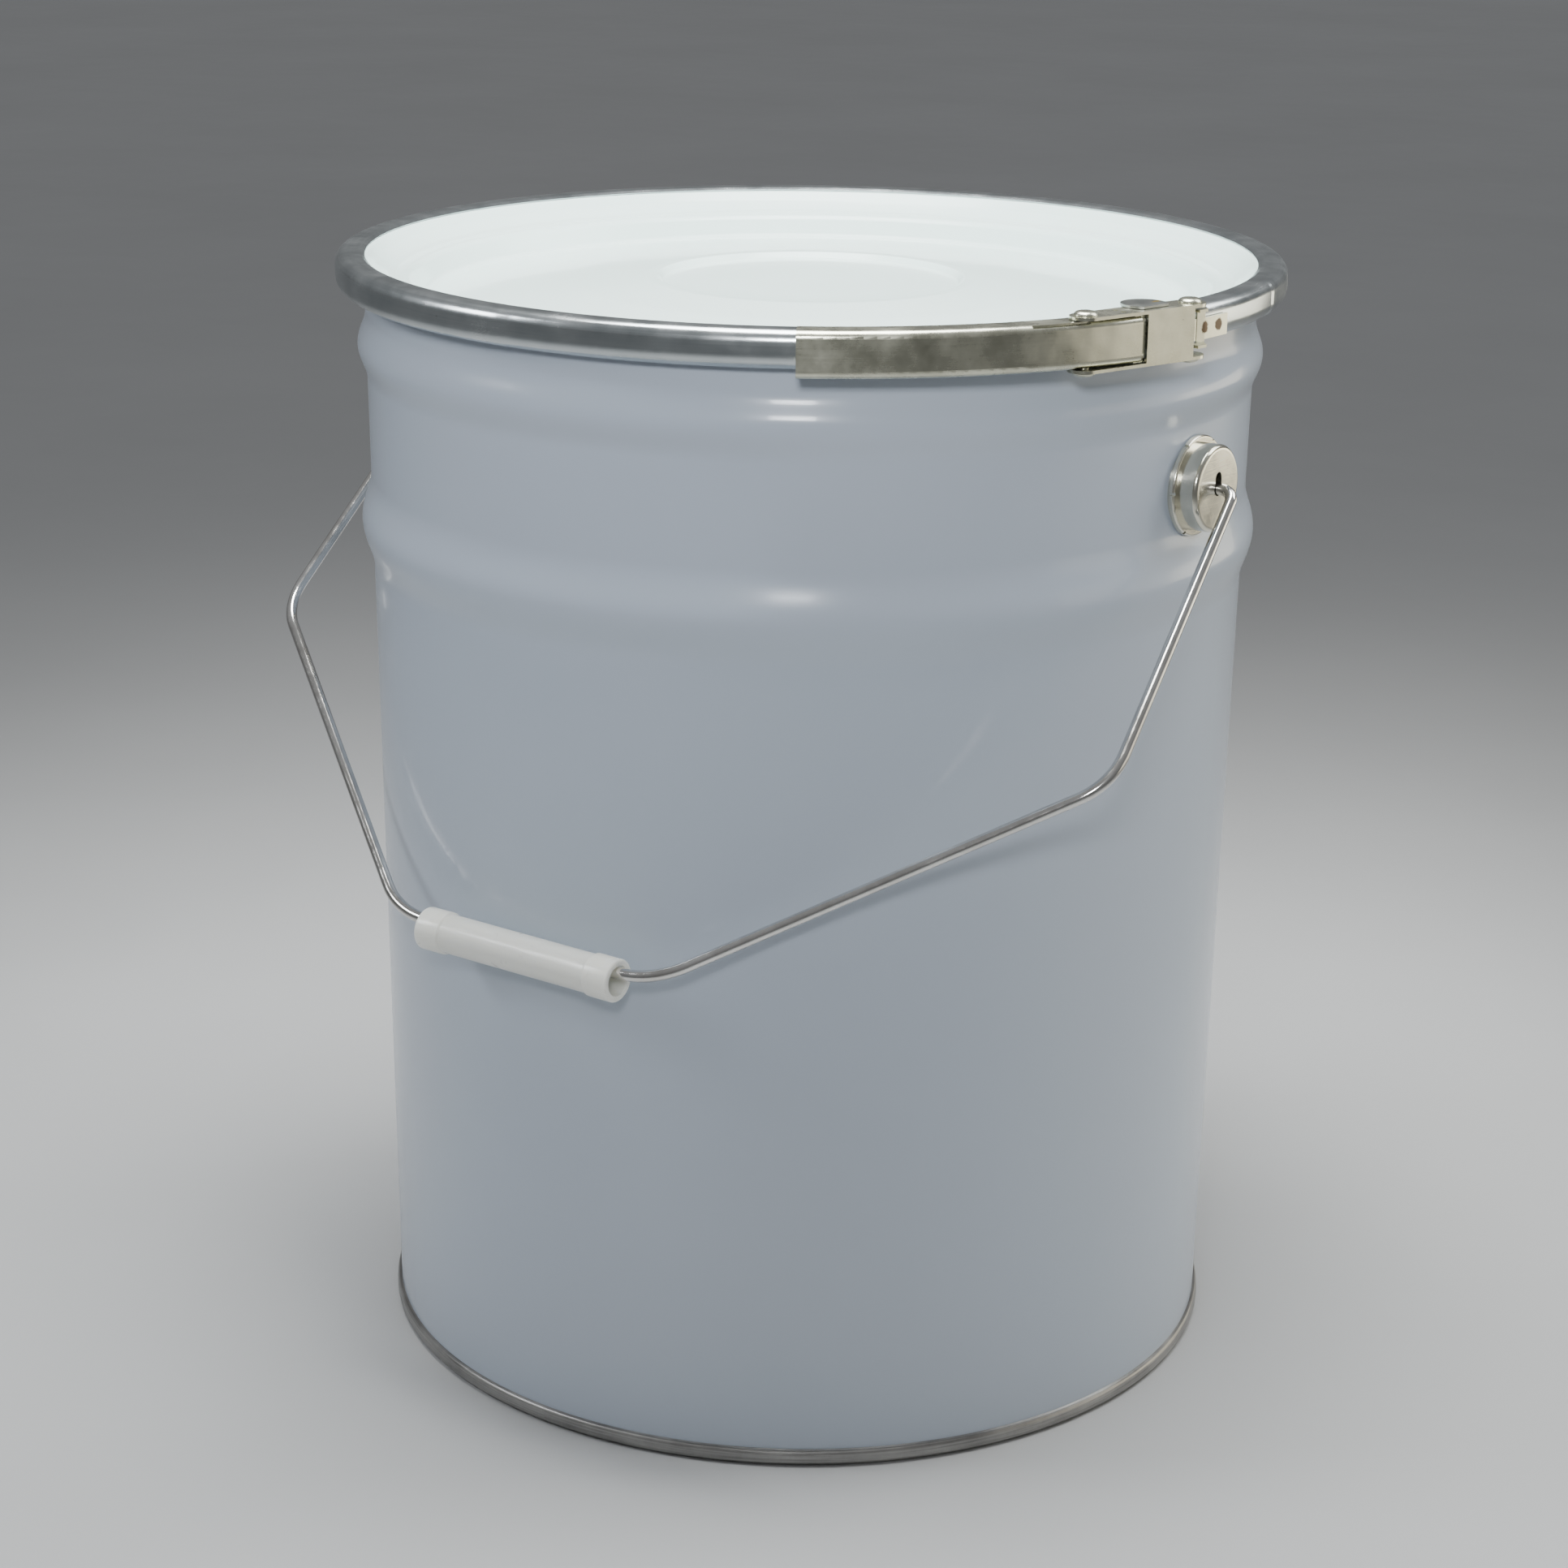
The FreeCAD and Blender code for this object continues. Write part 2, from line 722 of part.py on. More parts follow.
def build_rivet(label, azimuth):
    """Rivet through the link's two plates, with a low domed head at each end."""
    body = new_body(label)
    shank = cell("rivet_radius")
    head = cell("rivet_head_radius")
    rise = cell("rivet_head_height")
    top = cell("link_top")
    foot = cell("link_foot")
    flat = part_of(0.5, head)
    side = part_of(0.85, head)
    edge = part_of(0.25, rise)
    steps = [
        (("0", less(foot, rise)),),
        ((flat, less(foot, rise)),),
        ((side, less(foot, part_of(0.75, rise))), (head, less(foot, edge))),
        ((head, foot),),
        ((shank, foot),),
        ((shank, top),),
        ((head, top),),
        ((head, plus(top, edge)),),
        ((side, plus(top, part_of(0.75, rise))), (flat, plus(top, rise))),
        (("0", plus(top, rise)),),
    ]
    revolve(body, steps, "rivet")
    turn = "((%s) - 90) * 1 deg" % azimuth
    body.setExpression("Placement.Base.x", "%s * cos(%s) * 1 mm" % (cell("pivot_radius"), turn))
    body.setExpression("Placement.Base.y", "%s * sin(%s) * 1 mm" % (cell("pivot_radius"), turn))
    return body


def build_lever():
    """Channel-shaped handle that follows the ring, with two ears on the hinge pin."""
    body = new_body("lever")
    start = cell("lever_start_azimuth")
    gauge = cell("lever_sheet")
    outer = cell("lever_radius")
    inner = cell("lever_flange_radius")
    top = cell("lever_top")
    foot = cell("lever_foot")
    corner = cell("lever_round")
    slant = part_of(1 - math.sqrt(0.5), corner)
    steps = [
        ((inner, top, 270),),
        ((less(outer, corner), top, 270),),
        ((less(outer, slant), less(top, slant), 225), (outer, less(top, corner), 180)),
        ((outer, plus(foot, corner), 180),),
        ((less(outer, slant), plus(foot, slant), 135), (less(outer, corner), foot, 90)),
        ((inner, foot, 90),),
    ]
    span = "((%s) - (%s)) * 1 deg" % (cell("lever_wall_end_azimuth"), start)
    revolve(body, sheet_steps(steps, gauge), "channel", span)
    azimuth = cell("hinge_pin_azimuth")
    half = cell("lever_ear_half")
    height = cell("latch_ear_height")
    reach = "-(%s)" % cell("lever_ear_start")
    ear = [
        (beside(azimuth, start, reach, "-(%s)" % half),),
        (beside(azimuth, start, "0", "-(%s)" % half),),
        (beside(azimuth, start, part_of(math.sqrt(0.5), half), part_of(-math.sqrt(0.5), half)),
         beside(azimuth, start, half, "0")),
        (beside(azimuth, start, part_of(0.7, half), height),),
        (beside(azimuth, start, reach, height),),
    ]
    pad(body, outline(ear), "upper_ear", less(top, gauge), gauge)
    pad(body, outline(ear), "lower_ear", foot, gauge)
    above = plus(top, "5")
    pin_place = beside(azimuth, start, "0", "0")
    pin_hole = plus(cell("hinge_pin_radius"), cell("running_gap"))
    pocket(body, circle(pin_place, pin_hole), "pin_hole", above)
    rivet_azimuth = cell("link_rivet_azimuth")
    rivet_place = beside(rivet_azimuth, start, "0", "0")
    rivet_hole = plus(cell("rivet_radius"), cell("running_gap"))
    pocket(body, circle(rivet_place, rivet_hole), "rivet_hole", above)
    cut_from = cell("slit_start_azimuth")
    cut_middle = part_of(0.5, plus(cut_from, rivet_azimuth))
    cut_inner = cell("slit_inner_radius")
    cut_outer = cell("slit_outer_radius")
    slit = [
        (polar(cut_inner, cut_from, start),),
        (polar(cut_outer, cut_from, start),),
        (polar(cut_outer, cut_middle, start), polar(cut_outer, rivet_azimuth, start)),
        (polar(cut_inner, rivet_azimuth, start),),
        (polar(cut_inner, cut_middle, start), polar(cut_inner, cut_from, start)),
    ]
    pocket(body, outline(slit), "slit", above, less(above, cell("slit_floor")))
    turn_to(body, start)
    return body


def build_link():
    """Link from the lever to the tab bracket: two plates joined by an outer wall.
    Its X axis runs from the lever's rivet to the tab's rivet, and -Y points away from the pail."""
    body = new_body("link")
    first = cell("link_rivet_azimuth")
    last = cell("tab_rivet_azimuth")
    half_turn = "((%s) - (%s)) * 0.5 deg" % (last, first)
    length = "2 * (%s) * sin(%s)" % (cell("pivot_radius"), half_turn)
    half = cell("link_half_width")
    gauge = cell("link_sheet")
    top = cell("link_top")
    foot = cell("link_foot")
    back = "-(%s)" % half
    plate = [
        (("0", back),),
        ((length, back),),
        ((plus(length, half), "0"), (length, half)),
        (("0", half),),
        ((back, "0"), ("0", back)),
    ]
    wall_from = cell("link_wall_start")
    wall_to = less(length, cell("link_wall_setback"))
    outer_wall = [
        ((wall_from, back),),
        ((wall_to, back),),
        ((wall_to, less(gauge, half)),),
        ((wall_from, less(gauge, half)),),
    ]
    pad(body, outline(outer_wall), "outer_wall", foot, less(top, foot))
    pad(body, outline(plate), "upper_plate", less(top, gauge), gauge)
    pad(body, outline(plate), "lower_plate", foot, gauge)
    above = plus(top, "1")
    rivet_hole = plus(cell("rivet_radius"), cell("running_gap"))
    pocket(body, circle(("0", "0"), rivet_hole), "lever_rivet_hole", above)
    pocket(body, circle((length, "0"), rivet_hole), "tab_rivet_hole", above)
    dimple_turn = "((%s) - (%s)) * 1 deg" % (cell("link_dimple_azimuth"), first)
    dimple_along = "(%s) * sin(%s)" % (cell("pivot_radius"), dimple_turn)
    spread = cell("link_dimple_spread")

    def draw_dimples(sketch):
        for side in (spread, "-(%s)" % spread):
            draw_circle(sketch, (dimple_along, side), cell("link_dimple_radius"))

    pocket(body, draw_dimples, "dimples", above, plus("1", part_of(0.6, gauge)))
    body.Placement = FreeCAD.Placement(FreeCAD.Vector(0, 0, 0), FreeCAD.Rotation(FreeCAD.Vector(0, 0, 1), 1))
    turn = "((%s) - 90) * 1 deg" % first
    body.setExpression("Placement.Base.x", "%s * cos(%s) * 1 mm" % (cell("pivot_radius"), turn))
    body.setExpression("Placement.Base.y", "%s * sin(%s) * 1 mm" % (cell("pivot_radius"), turn))
    body.setExpression("Placement.Rotation.Angle", "((%s) + (%s)) * 0.5 deg" % (first, last))
    return body


# ---------------------------------------------------------------------------------------------
# Bail ears. Each is made along its own X axis, which points away from the pail.

def face_out(shape, side):
    """Stand an ear on its side of the pail: 1 for +X, -1 for -X."""
    turn = FreeCAD.Rotation(FreeCAD.Vector(0, 0, 1), 0 if side > 0 else 180)
    shape.Placement = FreeCAD.Placement(FreeCAD.Vector(0, 0, 0), turn)
    shape.setExpression("Placement.Base.z", cell("ear_height") + " * 1 mm")


def build_ear_plate(label, side):
    """Round plate welded to the wall, with its back shaped to the pail's cone."""
    disc = doc.addObject("Part::Cylinder", label + "_disc")
    disc.setExpression("Radius", cell("ear_plate_radius"))
    disc.setExpression("Height", less(cell("ear_plate_face"), cell("ear_plate_root")))
    turn = FreeCAD.Rotation(FreeCAD.Vector(0, 1, 0), 90)
    disc.Placement = FreeCAD.Placement(FreeCAD.Vector(0, 0, 0), turn)
    disc.setExpression("Placement.Base.x", cell("ear_plate_root") + " * 1 mm")
    cone = doc.addObject("Part::Cone", label + "_wall")
    reach = part_of(1.5, cell("ear_plate_radius"))
    low = less(cell("ear_height"), reach)
    high = plus(cell("ear_height"), reach)
    cone.setExpression("Radius1", plus(wall(low), cell("ear_wall_gap")))
    cone.setExpression("Radius2", plus(wall(high), cell("ear_wall_gap")))
    cone.setExpression("Height", part_of(2, reach))
    cone.setExpression("Placement.Base.z", "-(%s) * 1 mm" % reach)
    plate = doc.addObject("Part::Cut", label)
    plate.Label = label
    plate.Base = disc
    plate.Tool = cone
    face_out(plate, side)
    doc.recompute()
    return plate


def build_ear_cup(label, side):
    """Pressed cup over the bail's end. Its rim folds round the plate and is crimped."""
    body = new_body(label)
    gauge = cell("ear_cup_sheet")
    cup = cell("ear_cup_radius")
    rim = cell("ear_rim_radius")
    face = cell("ear_cup_face")
    plate_face = cell("ear_plate_face")
    flange = plus(plate_face, gauge)
    corner = cell("ear_cup_round")
    slant = part_of(1 - math.sqrt(0.5), corner)
    steps = [
        (("0", face),),
        ((less(cup, corner), face),),
        ((less(cup, slant), less(face, slant)), (cup, less(face, corner))),
        ((cup, flange),),
        ((less(rim, gauge), flange),),
        ((less(rim, part_of(1 - math.sqrt(0.5), gauge)), less(flange, part_of(1 - math.sqrt(0.5), gauge))),
         (rim, plate_face)),
        ((rim, cell("ear_rim_root")),),
        ((plus(cell("ear_plate_radius"), "0.02"), cell("ear_rim_root")),),
        ((plus(cell("ear_plate_radius"), "0.02"), plate_face),),
        ((less(cup, gauge), plate_face),),
        ((less(cup, gauge), less(face, corner)),),
        ((less(less(cup, slant), part_of(math.sqrt(0.5), gauge)),
          less(less(face, slant), part_of(math.sqrt(0.5), gauge))),
         (less(cup, corner), less(face, gauge))),
        (("0", less(face, gauge)),),
    ]
    swapped = [tuple((axial, radial) for radial, axial in step) for step in steps]
    revolve(body, swapped, "cup", None, "XY_Plane", "H_Axis")
    hole = cell("ear_hole_radius")
    slot = cell("ear_slot_half")
    slot_foot = "sqrt((%s)^2 - (%s)^2)" % (hole, slot)
    keyhole = [
        (("-(%s)" % slot, slot_foot),),
        (("0", "-(%s)" % hole), (slot, slot_foot)),
        ((slot, cell("ear_slot_height")),),
        (("0", plus(cell("ear_slot_height"), slot)), ("-(%s)" % slot, cell("ear_slot_height"))),
    ]
    pocket(body, outline(keyhole), "keyhole", plus(face, "1"), plus(gauge, "2"), "YZ_Plane")
    crimp = cell("ear_crimp_half")
    inner = cell("ear_crimp_radius")
    outer = plus(rim, "1")
    notch = [
        ((inner, "-(%s)" % crimp),),
        ((outer, "-(%s)" % crimp),),
        ((outer, crimp),),
        ((inner, crimp),),
    ]
    first_crimp = pocket(body, outline(notch), "crimp", plus(flange, "1"), "5", "YZ_Plane")
    crimps = body.newObject("PartDesign::PolarPattern", "crimps")
    crimps.Originals = [first_crimp]
    axis = next(item for item in body.Origin.OriginFeatures if item.Role == "X_Axis")
    crimps.Axis = (axis, [""])
    crimps.Angle = 360.0
    crimps.setExpression("Occurrences", cell("ear_crimps"))
    body.Tip = crimps
    doc.recompute()
    face_out(body, side)
    return body


# ---------------------------------------------------------------------------------------------
# Bail wire and grip

def draw_bent_wire(sketch, corners, radii):
    """Open run of straight lines through the corners, joined by tangent arcs of the given radii."""
    points = [vector_at(place) for place in corners]
    sizes = [value_of(radius) for radius in radii]
    ahead = [(end - start).normalize() for start, end in zip(points, points[1:])]
    stops = [points[0]]
    arcs = []
    for corner, before, after, size in zip(points[1:-1], ahead, ahead[1:], sizes):
        turn = before.getAngle(after)
        trim = size * math.tan(turn / 2)
        inward = (after - before).normalize()
        middle = corner + inward * (size / math.cos(turn / 2) - size)
        arcs.append((corner - before * trim, middle, corner + after * trim, before.cross(after).z > 0))
        stops += [corner - before * trim, corner + after * trim]
    stops.append(points[-1])
    lines = []
    for number in range(len(points) - 1):
        line = Part.LineSegment(stops[2 * number], stops[2 * number + 1])
        lines.append(sketch.addGeometry(line, False))
    pin_point(sketch, lines[0], 1, corners[0])
    pin_point(sketch, lines[-1], 2, corners[-1])
    for number, (start, middle, end, leftward) in enumerate(arcs):
        curve = Part.Arc(start, middle, end) if leftward else Part.Arc(end, middle, start)
        arc = sketch.addGeometry(curve, False)
        first, last = (1, 2) if leftward else (2, 1)
        sketch.addConstraint(Sketcher.Constraint("Tangent", lines[number], 2, arc, first))
        sketch.addConstraint(Sketcher.Constraint("Tangent", arc, last, lines[number + 1], 1))
        index = sketch.addConstraint(Sketcher.Constraint("Radius", arc, sizes[number]))
        sketch.setExpression("Constraints[%d]" % index, radii[number])
        vertex = sketch.addGeometry(Part.Point(points[number + 1]), True)
        pin_point(sketch, vertex, 1, corners[number + 1])
        sketch.addConstraint(Sketcher.Constraint("PointOnObject", vertex, 1, lines[number]))
        sketch.addConstraint(Sketcher.Constraint("PointOnObject", vertex, 1, lines[number + 1]))


def hang(body):
    """Turn a body about the ears' axis, so that its -Z axis lies along the resting bail."""
    body.Placement = FreeCAD.Placement(FreeCAD.Vector(0, 0, 0), FreeCAD.Rotation(FreeCAD.Vector(-1, 0, 0), 1))
    body.setExpression("Placement.Base.z", cell("ear_height") + " * 1 mm")
    body.setExpression("Placement.Rotation.Angle", cell("bail_tilt") + " * 1 deg")


def build_bail_wire():
    """Bent wire between the ears, with an upset button inside each cup."""
    body = new_body("bail_wire")
    tail = cell("bail_tail")
    right = [
        (tail, "0"),
        (cell("bail_ear_offset"), "0"),
        (cell("bail_bend_offset"), "-(%s)" % cell("bail_bend_reach")),
        (cell("bail_corner_offset"), "-(%s)" % cell("bail_reach")),
    ]
    left = [("-(%s)" % across, along) for across, along in reversed(right)]
    bends = [cell("bail_hook_radius"), cell("bail_bend_radius"), cell("bail_corner_radius")]
    path = new_sketch(body, "XZ_Plane", "path")
    draw_bent_wire(path, right + left, bends + bends[::-1])
    section = new_sketch(body, "YZ_Plane", "section", tail)
    draw_circle(section, ("0", "0"), cell("wire_radius"))
    doc.recompute()
    wire = body.newObject("PartDesign::AdditivePipe", "wire")
    wire.Profile = section
    wire.Spine = path
    doc.recompute()
    height = cell("bail_button_height")
    button = circle(("0", "0"), cell("bail_button_radius"))
    pad(body, button, "right_button", tail, height, "YZ_Plane")
    pad(body, button, "left_button", less("-(%s)" % tail, height), height, "YZ_Plane")
    hang(body)
    return body


def build_grip():
    """Plastic tube on the bail's middle run, with a thicker collar at each end."""
    body = new_body("grip")
    half = part_of(0.5, cell("grip_length"))
    collar = less(half, cell("grip_collar_length"))
    thick = cell("grip_collar_radius")
    thin = cell("grip_radius")
    bore = cell("grip_bore_radius")
    step = less(thick, thin)
    steps = [
        (("-(%s)" % half, bore),),
        (("-(%s)" % half, less(thick, step)),),
        ((less(step, half), thick),),
        (("-(%s)" % collar, thick),),
        ((plus("-(%s)" % collar, step), thin),),
        ((less(collar, step), thin),),
        ((collar, thick),),
        ((less(half, step), thick),),
        ((half, less(thick, step)),),
        ((half, bore),),
    ]
    revolve(body, steps, "tube", None, "XY_Plane", "H_Axis")
    tilt = cell("bail_tilt") + " * 1 deg"
    reach = cell("bail_reach")
    body.setExpression("Placement.Base.y", "-(%s) * sin(%s) * 1 mm" % (reach, tilt))
    drop = "(%s) * cos(%s) + (%s)" % (reach, tilt, cell("grip_sag"))
    body.setExpression("Placement.Base.z", "((%s) - (%s)) * 1 mm" % (cell("ear_height"), drop))
    doc.recompute()
    return body


# ---------------------------------------------------------------------------------------------
# The whole pail

def build_all():
    pieces = [build_body_shell(), build_bottom_end(), build_seam_compound(), build_lid(), build_lid_gasket()]
    pieces += build_ring_halves()
    pieces += [build_hinge_bracket(), build_hinge_pin(), build_tongue(), build_tab_bracket()]
    pieces += [build_lever(), build_link()]
    pieces.append(build_rivet("link_lever_rivet", cell("link_rivet_azimuth")))
    pieces.append(build_rivet("link_tab_rivet", cell("tab_rivet_azimuth")))
    for name, side in (("right", 1), ("left", -1)):
        pieces.append(build_ear_plate("ear_plate_" + name, side))
        pieces.append(build_ear_cup("ear_cup_" + name, side))
    pieces += [build_bail_wire(), build_grip()]
    doc.recompute()
    return pieces


def write_all(pieces):
    failed = [item.Label for item in doc.Objects if "Invalid" in item.State or "Error" in item.State]
    if failed:
        raise RuntimeError("these objects failed to recompute: %s" % failed)
    os.makedirs("parts", exist_ok=True)
    for piece in pieces:
        shape = piece.Shape
        if shape.isNull() or not shape.isValid() or len(shape.Solids) != 1:
            raise RuntimeError("%s is not one valid solid" % piece.Label)
        shape.exportStep(os.path.join("parts", piece.Label + ".step"))
        print("%-26s %10.1f mm3" % (piece.Label, shape.Volume))


write_all(build_all())
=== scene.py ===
import math

import bmesh
import bpy
from mathutils import Matrix, Vector


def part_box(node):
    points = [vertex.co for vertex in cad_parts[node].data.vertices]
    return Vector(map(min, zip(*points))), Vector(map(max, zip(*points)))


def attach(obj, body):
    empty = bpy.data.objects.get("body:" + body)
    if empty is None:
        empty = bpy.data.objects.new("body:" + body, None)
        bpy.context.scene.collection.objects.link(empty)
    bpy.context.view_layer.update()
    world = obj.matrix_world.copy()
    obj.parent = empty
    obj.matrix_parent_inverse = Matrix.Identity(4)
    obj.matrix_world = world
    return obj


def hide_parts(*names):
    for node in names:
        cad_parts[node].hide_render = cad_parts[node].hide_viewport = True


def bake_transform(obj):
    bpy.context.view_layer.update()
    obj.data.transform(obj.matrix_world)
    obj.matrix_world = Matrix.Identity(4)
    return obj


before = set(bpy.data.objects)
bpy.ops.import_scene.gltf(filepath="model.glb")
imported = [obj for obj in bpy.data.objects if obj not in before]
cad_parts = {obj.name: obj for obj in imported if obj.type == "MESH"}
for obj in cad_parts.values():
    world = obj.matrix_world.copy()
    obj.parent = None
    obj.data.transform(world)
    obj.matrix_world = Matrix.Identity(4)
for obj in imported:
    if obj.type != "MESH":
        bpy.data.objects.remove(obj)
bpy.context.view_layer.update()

# Lengths of shapes are in millimetres until a mesh is made.
# Textures, marks, lights, the floor and the camera's place are in metres.
# An azimuth is in degrees from -Y towards +X, seen from above, as in the CAD model.
MM = 0.001
FULL_TURN = 360
SHELL_SLICES = 288

# Wall, beads and rim of the pail. A bead is (height, half its width, swell).
BASE_RADIUS = 147.5
TAPER = 0.0106
FOOT = 1.2
PLAIN_WALL = 140
SHEET = 0.6
BEADS = ((292.0, 16.0, 3.55), (352.3, 11.2, 2.95))
BEAD_STEP = 0.8
CURL_HEIGHT = 376.3
CURL_RADIUS = 3.1
CURL_SWEEP = 270
CURL_STEPS = 27

# Closing ring
RING_RADIUS = 161.0
RING_TOP = 383.2
RING_FOOT = 371.2
RING_MOUTH = 151.0
RING_LIP = 154.2
RING_SHEET = 1.0
RING_START = 77.4
RING_END = 75.6
RING_BACK = 258.0
# The ring's wall is drawn in from its tab end to the joggle
JOGGLE_END = 103.8
JOGGLE_SPREAD = 0.7
JOGGLE_RADIUS = 157.5
JOGGLE_DEPTH = 0.35
# Slices of the ring, in degrees: fine ones within reach of the bend and of the joggle
SLICE = 1.0
FINE_SLICE = 0.1
FINE_REACH = 2

# Bail and its ears
EAR_HEIGHT = 322.0
WIRE_RADIUS = 1.95
BAIL_TILT = math.radians(47.4)
BAIL_REACH = 214.5
WIRE_FACET = 4
ROUND_FACET = 11

# Corners of the outlines. The third number is the radius that rounds the corner.
# Bottom end and seam, as (radius, height, rounding): from the middle, under the seam and up its outside
SEAM_CORNERS = [
    (0, 5.0, 0), (144.2, 5.0, 1.2), (146.0, 0.2, 0.8), (147.4, 0.0, 0.6),
    (149.25, 1.3, 2.2), (148.95, 5.6, 2.2), (147.6, 6.0, 0.5), (147.85, 5.0, 0),
]
SEAM_INSIDE = [(147.8, 5.4), (146.6, 1.0), (146.4, 5.6), (0, 5.6)]
# Lid, as (radius, height, rounding)
LID_CORNERS = [
    # Rim
    (158.1, 374.5, 0), (158.1, 381.8, 1.2), (150.4, 381.8, 1.6), (147.6, 378.7, 3.0),
    # Ledge
    (143.4, 375.7, 2.5), (141.0, 375.0, 3.0), (136.4, 375.0, 2.6),
    # Step down to the groove
    (134.8, 373.4, 2.2), (132.0, 367.6, 2.0), (129.0, 366.95, 2.5),
    # Crowned panel
    (110.0, 369.4, 60.0), (80.0, 372.3, 120.0), (56.0, 373.75, 8.0), (52.4, 373.75, 0.9),
    # Central dish
    (50.6, 371.75, 1.2), (30.0, 371.75, 0), (0, 371.75, 0),
]
# Closing ring, as (radius, height, rounding): from its mouth over the lid, down and in to its lip
RING_CORNERS = [
    (RING_MOUTH, 382.3, 0), (RING_MOUTH + 1.4, RING_TOP, 1.6), (RING_RADIUS - 1.2, RING_TOP, 3.4),
    (RING_RADIUS, 380.0, 3.0), (RING_RADIUS, RING_FOOT, 4.8), (RING_LIP, RING_FOOT, 0),
]
# Right half of the bail, as (across, down its tilted plane, rounding): from the ear to the grip
BAIL_CORNERS = [(156.0, 0.0, 0), (166.0, 0.0, 5.0), (172.44, 112.0, 22.0), (53.0, BAIL_REACH, 34.0)]
# Button at each end of the bail, as (across, radius, rounding)
BUTTON_CORNERS = [(156.0, 0, 0), (156.0, 4.0, 0.5), (157.6, 4.0, 0.5), (157.6, 1.9, 0)]
# Grip, as (across, radius, rounding)
GRIP_CORNERS = [
    (-40, 5.0, 0), (-40, 7.1, 0.8), (-30.5, 7.1, 0.6), (-30, 6.5, 0.5), (30, 6.5, 0.5),
    (30.5, 7.1, 0.6), (40, 7.1, 0.8), (40, 5.0, 0), (0, 5.0, 0), (-40, 5.0, 0),
]

# Bevels of the kept CAD nodes
LATCH_BEVEL = 0.12
EAR_BEVEL = 0.15
BEVEL_ANGLE = 40

# Most of a noise's values lie between these two
NOISE_LOW = 0.3
NOISE_HIGH = 0.7
# Sockets of a Mix node that mixes colours: factor, first colour, second colour, result
MIX_COLOUR_INPUTS = (0, 6, 7)
MIX_COLOUR_OUTPUT = 2
# Depth of the streaks in zinc, in metres
COARSE_SCRATCH = 0.00002
FINE_SCRATCH = 0.000004
# How much the clouds and the streaks each vary the roughness of zinc
SHEEN_FROM_CLOUDS = 0.8
SHEEN_FROM_STREAKS = 0.2
DUST = (0.05, 0.05, 0.05)
PIT = (0.2, 0.19, 0.17)

# A speck is solid up to this share of its size, and fades out at the size itself.
# A cell holds a speck when its colour passes a limit, over this range.
SPECK_CORE = 0.6
SPECK_CHOICE = 0.01
# A spot is full up to this share of its size, and fades out at the size itself.
# Cover is how much of the colour under it a full spot hides.
SPOT_CORE = 0.75
SPOT_COVER = 0.96
SPOT_RAGGEDNESS = 0.15
SPOT_GRAIN = 900.0

# Vertices nearer than this are one, in metres: in the spun pieces, and in the small turned ones
SPUN_MERGE = 1e-6
TURNED_MERGE = 1e-7
# Edges that turn by more than this many degrees stay sharp
SHARP_EDGE = 35
SOFT_EDGE = 50
# Slices of the turned pieces, and sides of the wire
GRIP_SLICES = 64
BUTTON_SLICES = 32
WIRE_SIDES = 24

# Floor: half its side, and how far it lies under the foot
FLOOR_SIZE = 30
FLOOR_DROP = 0.0002

# Area lights: name, place, target, size, watts, spread in degrees, colour
LIGHTS = (
    ("key", (0.0, -0.03, 0.95), (0, 0, 0.38), (0.5, 0.42), 5.2, 100, (0.985, 1, 0.99)),
    ("back", (0.45, 0.5, 0.9), (0, 0, 0.38), (0.5, 0.5), 2.0, 110, (0.985, 1, 0.99)),
    ("front", (0.58, -0.95, 0.78), (0, 0, 0.42), (0.2, 0.14), 0.5, 44, (0.95, 0.975, 1)),
    ("right", (1.25, 0.75, 0.32), (0, 0, 0.28), (1.3, 0.6), 2.1, 150, (1, 0.93, 0.76)),
    ("back_right", (0.75, 1.3, 0.22), (0, 0, 0.34), (0.9, 0.35), 0.8, 90, (1, 0.93, 0.74)),
    ("left", (-0.95, -0.8, 0.98), (0, 0, 0.36), (0.35, 0.35), 1.3, 80, (0.93, 0.965, 1)),
)
SKY_LEVEL = (0.15, 0.153, 0.156)
SKY_TOP = (0.34, 0.347, 0.355)

# Camera at the photograph's angle: it stands off along -Y, and its whole stand is turned by an azimuth.
# Angles are in radians, and the lens and sensor in millimetres, as Blender has them.
CAMERA_AZIMUTH = math.radians(35)
CAMERA_PITCH = 0.3137
CAMERA_YAW = -0.0063
CAMERA_ROLL = 0.012
CAMERA_STAND = (0, -1.1213, 0.5548)
CAMERA_LENS = 75.47
CAMERA_SENSOR = 36
CAMERA_CLIP = (0.05, 50)


# ---------------------------------------------------------------------------------------------
# Outlines

def fillet(corners, facet=ROUND_FACET):
    """Polyline through (x, y, radius) corners, each rounded in facets of so many degrees."""
    points = []
    for number, (x, y, radius) in enumerate(corners):
        here = Vector((x, y))
        if radius <= 0 or number in (0, len(corners) - 1):
            points.append(here)
            continue
        before = (here - Vector(corners[number - 1][:2])).normalized()
        after = (Vector(corners[number + 1][:2]) - here).normalized()
        turn = before.angle_signed(after)
        if abs(turn) < 0.01:
            points.append(here)
            continue
        trim = radius * math.tan(abs(turn) / 2)
        side = 1 if turn < 0 else -1
        start = here - before * trim
        centre = start + Vector((-before.y, before.x)) * radius * side
        count = max(2, round(abs(turn) / math.radians(facet)))
        for step in range(count + 1):
            arm = start - centre
            arm.rotate(Matrix.Rotation(-turn * step / count, 2))
            points.append(centre + arm)
    return points


